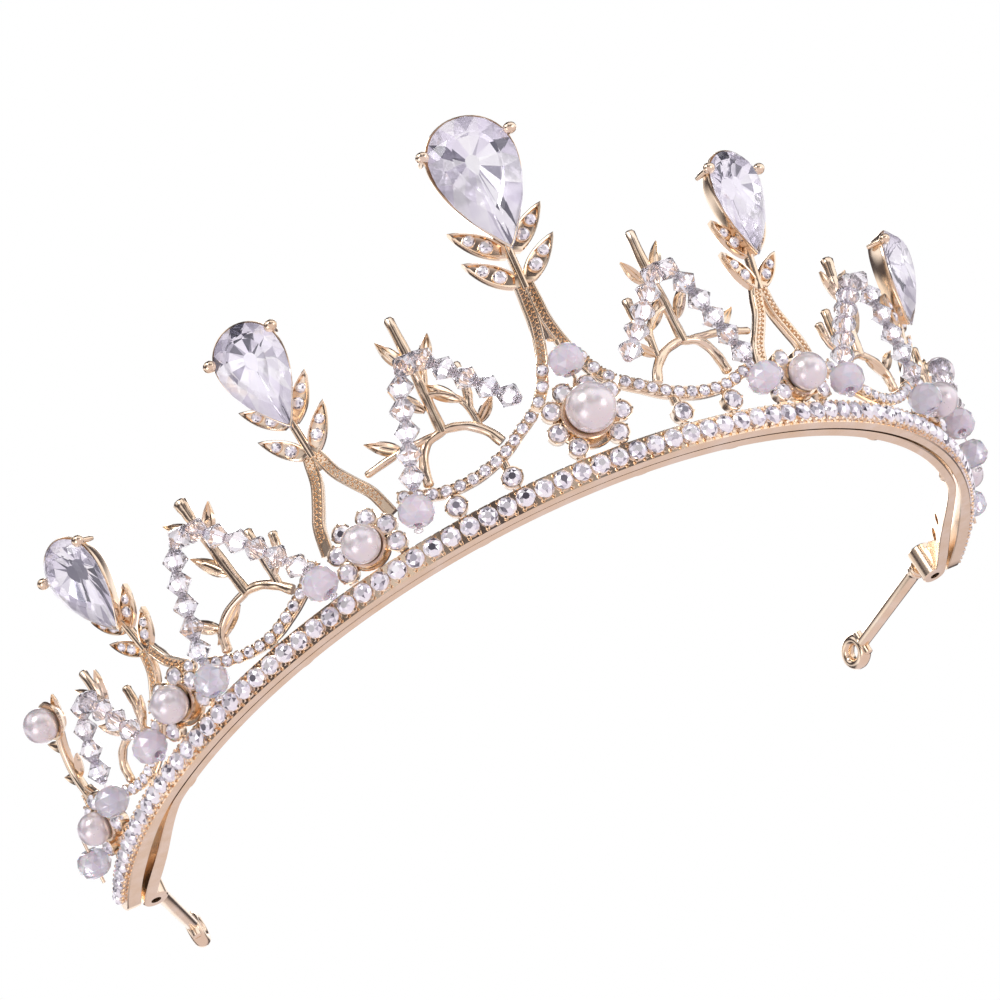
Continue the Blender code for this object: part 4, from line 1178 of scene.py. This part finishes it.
def opal_shell(count=10):
    """A faceted bead about Z with a hole through it, in crown units."""
    points = []
    for j, (radius, height) in enumerate(OPAL_PROFILE):
        for k in range(count):
            turn = math.tau * (k + 0.5 * j) / count
            points.append((radius * math.cos(turn), radius * math.sin(turn), height))
    rings = len(OPAL_PROFILE)
    faces = facet_sides(rings, count)
    last = (rings - 1) * count
    turned = rings // 2 - 1
    for k in range(count):
        a = last + k
        b = last + (k + 1) % count
        c = (k + turned + 1) % count
        d = (k + turned + 2) % count
        faces.append((a, b, c))
        faces.append((b, d, c))
    return points, faces


def opal_matrix(path, opal_at):
    """An opal's place on its strand, with its hole along the thread."""
    middle, axis = opal_line(path, opal_at)
    upwards = crown_point(middle - axis) - crown_point(middle + axis)
    return Matrix.Translation(crown_point(middle)) @ upwards.to_track_quat("Z", "Y").to_matrix().to_4x4()


def end_opal_matrix():
    """Where the end opal sits on its straight wire."""
    start, stop = (crown_point(point) for point in END_WIRE[1:])
    middle = start.lerp(stop, END_OPAL)
    return Matrix.Translation(middle) @ (start - stop).to_track_quat("Z", "Y").to_matrix().to_4x4()


def opal_piece(name, matrix, finish="opal"):
    """One opal, which turns with its own body."""
    points, faces = opal_shell()
    return piece(name + "_cut", [([Vector(point) * UNIT for point in points], faces)], finish, "opal_glass",
                 name + "_body", name, 0, matrix)


# ---------------------------------------------------------------- materials


def new_material(name):
    """A material with nodes, with its nodes, links and surface shader."""
    made = bpy.data.materials.new(name)
    made.use_nodes = True
    nodes = made.node_tree.nodes
    return made, nodes, made.node_tree.links, nodes["Principled BSDF"]


def object_noise(nodes, links, scale, detail=3.0):
    """A noise texture in object space; its scale is per metre."""
    where = nodes.new("ShaderNodeTexCoord")
    noise = nodes.new("ShaderNodeTexNoise")
    noise.inputs["Scale"].default_value = scale
    noise.inputs["Detail"].default_value = detail
    links.new(where.outputs["Object"], noise.inputs["Vector"])
    return noise.outputs["Fac"]


def facet_painted_reflection(nodes):
    """The random value that each facet carries, which the stone and foil materials turn into painted
    reflections.
    """
    tone = nodes.new("ShaderNodeAttribute")
    tone.attribute_name = "tone"
    return tone.outputs["Fac"]


def ramp(nodes, links, source, stops):
    """A colour ramp driven by a value."""
    made = nodes.new("ShaderNodeValToRGB")
    elements = made.color_ramp.elements
    while len(elements) < len(stops):
        elements.new(0.5)
    for element, (place, colour) in zip(elements, stops):
        element.position = place
        element.color = (*colour, 1.0)
    links.new(source, made.inputs["Fac"])
    return made.outputs["Color"]


def scaled(nodes, links, source, low, high):
    """The source, from 0 to 1, spread between low and high."""
    made = nodes.new("ShaderNodeMapRange")
    made.inputs["To Min"].default_value = low
    made.inputs["To Max"].default_value = high
    links.new(source, made.inputs["Value"])
    return made.outputs["Result"]


def bumped(nodes, links, source, shader, strength, distance):
    """The source used as small bumps on a surface."""
    made = nodes.new("ShaderNodeBump")
    made.inputs["Strength"].default_value = strength
    made.inputs["Distance"].default_value = distance
    links.new(source, made.inputs["Height"])
    links.new(made.outputs["Normal"], shader.inputs["Normal"])


def gold_material():
    """Polished pale rose gold plating, with warmer patches and a faint cast surface."""
    made, nodes, links, shader = new_material("pale_gold")
    patches = object_noise(nodes, links, 260.0)
    fine = object_noise(nodes, links, 1900.0, 4.0)
    colour = ramp(nodes, links, patches, ((0.25, (0.88, 0.67, 0.46)), (0.55, (0.93, 0.75, 0.57)),
                                          (0.8, (0.97, 0.84, 0.7))))
    links.new(colour, shader.inputs["Base Color"])
    links.new(scaled(nodes, links, fine, 0.12, 0.26), shader.inputs["Roughness"])
    shader.inputs["Metallic"].default_value = 1.0
    bumped(nodes, links, fine, shader, 0.05, 0.00004)
    return made


def stone_material():
    """Small foil-backed stones: bright, grey and dark facets, painted at random into the colour as painted
    reflections, with a faint painted glow.
    """
    made, nodes, links, shader = new_material("cut_stone")
    # painted reflections: each facet's random value picks a colour from near black to white
    colour = ramp(nodes, links, facet_painted_reflection(nodes), ((0.0, (0.12, 0.11, 0.14)), (0.12, (0.4, 0.38, 0.44)),
                                                    (0.26, (0.88, 0.85, 0.93)), (1.0, (1.0, 0.99, 1.0))))
    links.new(colour, shader.inputs["Base Color"])
    fine = object_noise(nodes, links, 2500.0)
    links.new(scaled(nodes, links, fine, 0.03, 0.1), shader.inputs["Roughness"])
    shader.inputs["Metallic"].default_value = 0.5
    shader.inputs["Coat Weight"].default_value = 1.0
    shader.inputs["Coat Roughness"].default_value = 0.02
    # painted glow: the stones give off a little light in their own facet colour
    links.new(colour, shader.inputs["Emission Color"])
    shader.inputs["Emission Strength"].default_value = 0.12
    bumped(nodes, links, fine, shader, 0.05, 0.00005)
    return made


def crystal_material():
    """The clear front of a large crystal."""
    made, nodes, links, shader = new_material("clear_crystal")
    haze = object_noise(nodes, links, 420.0)
    colour = ramp(nodes, links, haze, ((0.3, (0.97, 0.97, 0.99)), (0.7, (1.0, 1.0, 1.0))))
    links.new(colour, shader.inputs["Base Color"])
    links.new(scaled(nodes, links, haze, 0.0, 0.02), shader.inputs["Roughness"])
    shader.inputs["Transmission Weight"].default_value = 1.0
    shader.inputs["IOR"].default_value = 1.56
    bumped(nodes, links, haze, shader, 0.02, 0.00005)
    return made


def foil_material():
    """The mirrored back of a large crystal, with slightly uneven foil, and facets painted at random from near
    black to white as painted reflections, with a faint painted glow.
    """
    made, nodes, links, shader = new_material("silver_foil")
    # painted reflections: each facet's random value picks a colour from near black to white
    colour = ramp(nodes, links, facet_painted_reflection(nodes), ((0.0, (0.05, 0.05, 0.07)), (0.08, (0.35, 0.33, 0.4)),
                                                    (0.3, (0.84, 0.79, 0.9)), (1.0, (1.0, 0.98, 1.0))))
    links.new(colour, shader.inputs["Base Color"])
    fine = object_noise(nodes, links, 900.0)
    links.new(scaled(nodes, links, fine, 0.05, 0.12), shader.inputs["Roughness"])
    shader.inputs["Metallic"].default_value = 0.5
    # painted glow: the foil gives off a little light in its own facet colour
    links.new(colour, shader.inputs["Emission Color"])
    shader.inputs["Emission Strength"].default_value = 0.17
    bumped(nodes, links, fine, shader, 0.05, 0.00008)
    return made


def pearl_material():
    """Cream pearl with a lavender cast and a clear lacquer."""
    made, nodes, links, shader = new_material("cream_pearl")
    clouds = object_noise(nodes, links, 240.0)
    colour = ramp(nodes, links, clouds, ((0.3, (0.86, 0.77, 0.80)), (0.5, (0.89, 0.82, 0.82)),
                                         (0.72, (0.84, 0.78, 0.86))))
    links.new(colour, shader.inputs["Base Color"])
    fine = object_noise(nodes, links, 1600.0)
    links.new(scaled(nodes, links, fine, 0.24, 0.34), shader.inputs["Roughness"])
    shader.inputs["Metallic"].default_value = 0.35
    shader.inputs["Coat Weight"].default_value = 1.0
    shader.inputs["Coat Roughness"].default_value = 0.05
    shader.inputs["Subsurface Weight"].default_value = 0.12
    shader.inputs["Subsurface Scale"].default_value = 0.001
    bumped(nodes, links, clouds, shader, 0.03, 0.00003)
    return made


def opal_material(name, milk, clear):
    """Milky faceted glass; clear is how much light it lets through."""
    made, nodes, links, shader = new_material(name)
    clouds = object_noise(nodes, links, 300.0)
    links.new(ramp(nodes, links, clouds, milk), shader.inputs["Base Color"])
    fine = object_noise(nodes, links, 1300.0)
    links.new(scaled(nodes, links, fine, 0.06, 0.16), shader.inputs["Roughness"])
    shader.inputs["Transmission Weight"].default_value = clear
    shader.inputs["IOR"].default_value = 1.5
    shader.inputs["Coat Weight"].default_value = 0.8
    shader.inputs["Coat Roughness"].default_value = 0.04
    shader.inputs["Subsurface Weight"].default_value = 0.4
    shader.inputs["Subsurface Scale"].default_value = 0.002
    bumped(nodes, links, fine, shader, 0.04, 0.00005)
    return made


def bead_material():
    """Clear cut glass with a faint rainbow coating."""
    made, nodes, links, shader = new_material("clear_bead_glass")
    tints = object_noise(nodes, links, 420.0)
    colour = ramp(nodes, links, tints, ((0.3, (1.0, 0.89, 0.90)), (0.45, (0.99, 0.94, 0.98)),
                                        (0.6, (0.94, 0.93, 1.0)), (0.75, (0.98, 0.88, 1.0))))
    links.new(colour, shader.inputs["Base Color"])
    fine = object_noise(nodes, links, 1400.0)
    links.new(scaled(nodes, links, fine, 0.02, 0.08), shader.inputs["Roughness"])
    shader.inputs["Transmission Weight"].default_value = 0.92
    shader.inputs["IOR"].default_value = 1.5
    shader.inputs["Coat Weight"].default_value = 0.6
    shader.inputs["Coat Roughness"].default_value = 0.02
    bumped(nodes, links, fine, shader, 0.04, 0.00005)
    return made


# ---------------------------------------------------------------- camera, floor and light


CAMERA_PLACE = Vector((-0.125755, -0.367347, -0.163932))
CAMERA_AHEAD = Vector((0.289, 0.851, 0.438))
CAMERA_UP = Vector((0.346, -0.520, 0.781))
CAMERA_LENS = 104.03
SENSOR = 36.0


def camera():
    """The photograph's view: from below the band, ahead of it and to its left, and turned."""
    back = -CAMERA_AHEAD.normalized()
    right = CAMERA_UP.cross(back).normalized()
    up = back.cross(right)
    data = bpy.data.cameras.new("camera")
    data.lens = CAMERA_LENS
    data.sensor_width = SENSOR
    data.clip_start = 0.01
    obj = bpy.data.objects.new("camera", data)
    obj.matrix_world = Matrix.Translation(CAMERA_PLACE) @ Matrix((right, up, back)).transposed().to_4x4()
    bpy.context.scene.collection.objects.link(obj)
    bpy.context.scene.camera = obj


def floor():
    """A pale floor under the band. The view is from below it, so it is one-sided."""
    half = 1.5
    mesh = bpy.data.meshes.new("floor")
    corners = [(-half, -half, 0), (half, -half, 0), (half, half, 0), (-half, half, 0)]
    mesh.from_pydata(corners, [], [(0, 1, 2, 3)])
    made, nodes, links, shader = new_material("pale_floor")
    shader.inputs["Base Color"].default_value = (0.86, 0.86, 0.87, 1.0)
    shader.inputs["Roughness"].default_value = 0.6
    side = nodes.new("ShaderNodeNewGeometry")
    clear = nodes.new("ShaderNodeBsdfTransparent")
    mix = nodes.new("ShaderNodeMixShader")
    links.new(side.outputs["Backfacing"], mix.inputs[0])
    links.new(shader.outputs[0], mix.inputs[1])
    links.new(clear.outputs[0], mix.inputs[2])
    links.new(mix.outputs[0], nodes["Material Output"].inputs["Surface"])
    mesh.materials.append(made)
    obj = bpy.data.objects.new("floor", mesh)
    obj.location.z = -0.2 * MM
    for ray in ("shadow", "glossy", "diffuse", "transmission"):
        setattr(obj, "visible_" + ray, False)
    bpy.context.scene.collection.objects.link(obj)


def area_light(name, place, size, power):
    """A square light that faces the middle of the crown."""
    data = bpy.data.lights.new(name, "AREA")
    data.size = size
    data.energy = power
    obj = bpy.data.objects.new(name, data)
    obj.location = place
    aim = Vector((0.0, -0.02, 0.02)) - Vector(place)
    obj.rotation_euler = aim.to_track_quat("-Z", "Y").to_euler()
    bpy.context.scene.collection.objects.link(obj)


def studio():
    """Soft light all round: wide bright panels, and darker gaps that give metal and glass their contrast."""
    world = bpy.data.worlds.new("studio")
    bpy.context.scene.world = world
    world.use_nodes = True
    nodes = world.node_tree.nodes
    links = world.node_tree.links
    shade = nodes["Background"]
    where = nodes.new("ShaderNodeTexCoord")
    panels = nodes.new("ShaderNodeTexNoise")
    panels.inputs["Scale"].default_value = 1.6
    panels.inputs["Detail"].default_value = 0.0
    links.new(where.outputs["Generated"], panels.inputs["Vector"])
    light = ramp(nodes, links, panels.outputs["Fac"], ((0.40, (0.07, 0.06, 0.07)), (0.47, (0.5, 0.48, 0.5)),
                                                       (0.56, (1.2, 1.18, 1.22))))
    axes = nodes.new("ShaderNodeSeparateXYZ")
    links.new(where.outputs["Generated"], axes.inputs[0])
    low = nodes.new("ShaderNodeMapRange")
    low.inputs["From Min"].default_value = -0.15
    low.inputs["From Max"].default_value = -0.35
    links.new(axes.outputs["Z"], low.inputs["Value"])
    table = nodes.new("ShaderNodeMixRGB")
    table.inputs["Color2"].default_value = (0.78, 0.7, 0.74, 1.0)
    links.new(low.outputs["Result"], table.inputs["Fac"])
    links.new(light, table.inputs["Color1"])
    links.new(table.outputs["Color"], shade.inputs["Color"])
    shade.inputs["Strength"].default_value = 1.0
    paper = nodes.new("ShaderNodeBackground")
    paper.inputs["Color"].default_value = (1.0, 1.0, 1.0, 1.0)
    seen = nodes.new("ShaderNodeLightPath")
    through = nodes.new("ShaderNodeMath")
    through.operation = "MULTIPLY_ADD"
    through.use_clamp = True
    through.inputs[1].default_value = 0.7
    links.new(seen.outputs["Is Transmission Ray"], through.inputs[0])
    links.new(seen.outputs["Is Camera Ray"], through.inputs[2])
    mix = nodes.new("ShaderNodeMixShader")
    links.new(through.outputs[0], mix.inputs[0])
    links.new(shade.outputs[0], mix.inputs[1])
    links.new(paper.outputs[0], mix.inputs[2])
    links.new(mix.outputs[0], nodes["World Output"].inputs["Surface"])
    area_light("key", (-0.35, -0.55, 0.45), 0.3, 1.6)
    area_light("fill", (0.45, -0.5, -0.22), 0.3, 0.5)
    area_light("low_fill", (-0.5, -0.2, -0.25), 0.3, 0.4)
    area_light("rim", (0.2, 0.6, 0.5), 0.35, 1.2)
    bpy.context.scene.view_settings.view_transform = "Standard"


# ---------------------------------------------------------------- the whole tiara


def middle_pieces():
    """The pieces that lie on the tiara's middle plane or run across it."""
    band_pieces()
    rail_piece()
    centre = SPIRES["centre"]
    spire_pieces("spire_centre", centre)
    crystal_piece("crystal_centre", centre)
    low_pearl("pearl_centre", centre)
    opal_piece("opal_centre", crown_frame(*CENTRE_OPAL, OPAL_OUT))


def right_pieces():
    """The pieces of the right half, each of which has a mirror twin on the left."""
    made = [arm_piece()]
    for key in ("1", "2"):
        spec = SPIRES[key]
        made += spire_pieces("spire_right_" + key, spec)
        made.append(crystal_piece("crystal_right_" + key, spec))
        made.append(low_pearl("pearl_right_" + key, spec))
    made += end_spire_pieces("end_spire_right", END_SPIRE)
    made.append(low_pearl("pearl_right_low", END_SPIRE))
    radius = END_SPIRE["top_pearl"]
    x, z = END_SPIRE["top"]
    made.append(pearl_piece("pearl_right_top", radius,
                            crown_frame(x + END_SPIRE["at"] * PITCH_UNITS, z, pearl_out(radius))))
    made.append(piece("end_wire_right_gold", [on_crown(wire(END_WIRE))], "gold", "gold", "tiara",
                      "end_wire_right"))
    made.append(opal_piece("opal_right_end", end_opal_matrix(), "opal_blue"))
    for key in SWAGS:
        made += swag_pieces("swag_right_" + key, SWAGS[key])
        made.append(branch_piece("branch_right_" + key, BRANCHES[key]))
    for key, spec in STRANDS.items():
        made.append(strand_piece("strand_right_" + key, spec))
        for part in ("inner", "outer"):
            place = spec[part + "_opal"]
            if place:
                finish = "opal_blue" if part == "outer" and key != "1" else "opal"
                name = "opal_right_%s_%s" % (key, part)
                made.append(opal_piece(name, opal_matrix(spec[part], place), finish))
    return made


def add_twins(made):
    """Mirror twins of the right-hand pieces, each tied to the left-hand node and body."""
    for obj in made:
        nodes = [node.replace("right", "left") for node in obj.get("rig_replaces", [])]
        body = obj["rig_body"].replace("right", "left")
        mirror_twin(obj, body, nodes[0] if nodes else None)


camera()
floor()
studio()
MATERIALS.update(gold=gold_material(), stone=stone_material(), crystal=crystal_material(),
                 foil=foil_material(), pearl=pearl_material(), bead=bead_material())
MATERIALS["opal"] = opal_material("milk_opal", ((0.3, (0.86, 0.77, 0.88)), (0.5, (0.93, 0.87, 0.95)),
                                                (0.7, (0.86, 0.82, 0.96))), 0.25)
MATERIALS["opal_blue"] = opal_material("blue_opal", ((0.3, (0.95, 0.86, 0.88)), (0.5, (0.90, 0.88, 0.97)),
                                                     (0.7, (0.82, 0.84, 0.98))), 0.55)
middle_pieces()
add_twins(right_pieces())
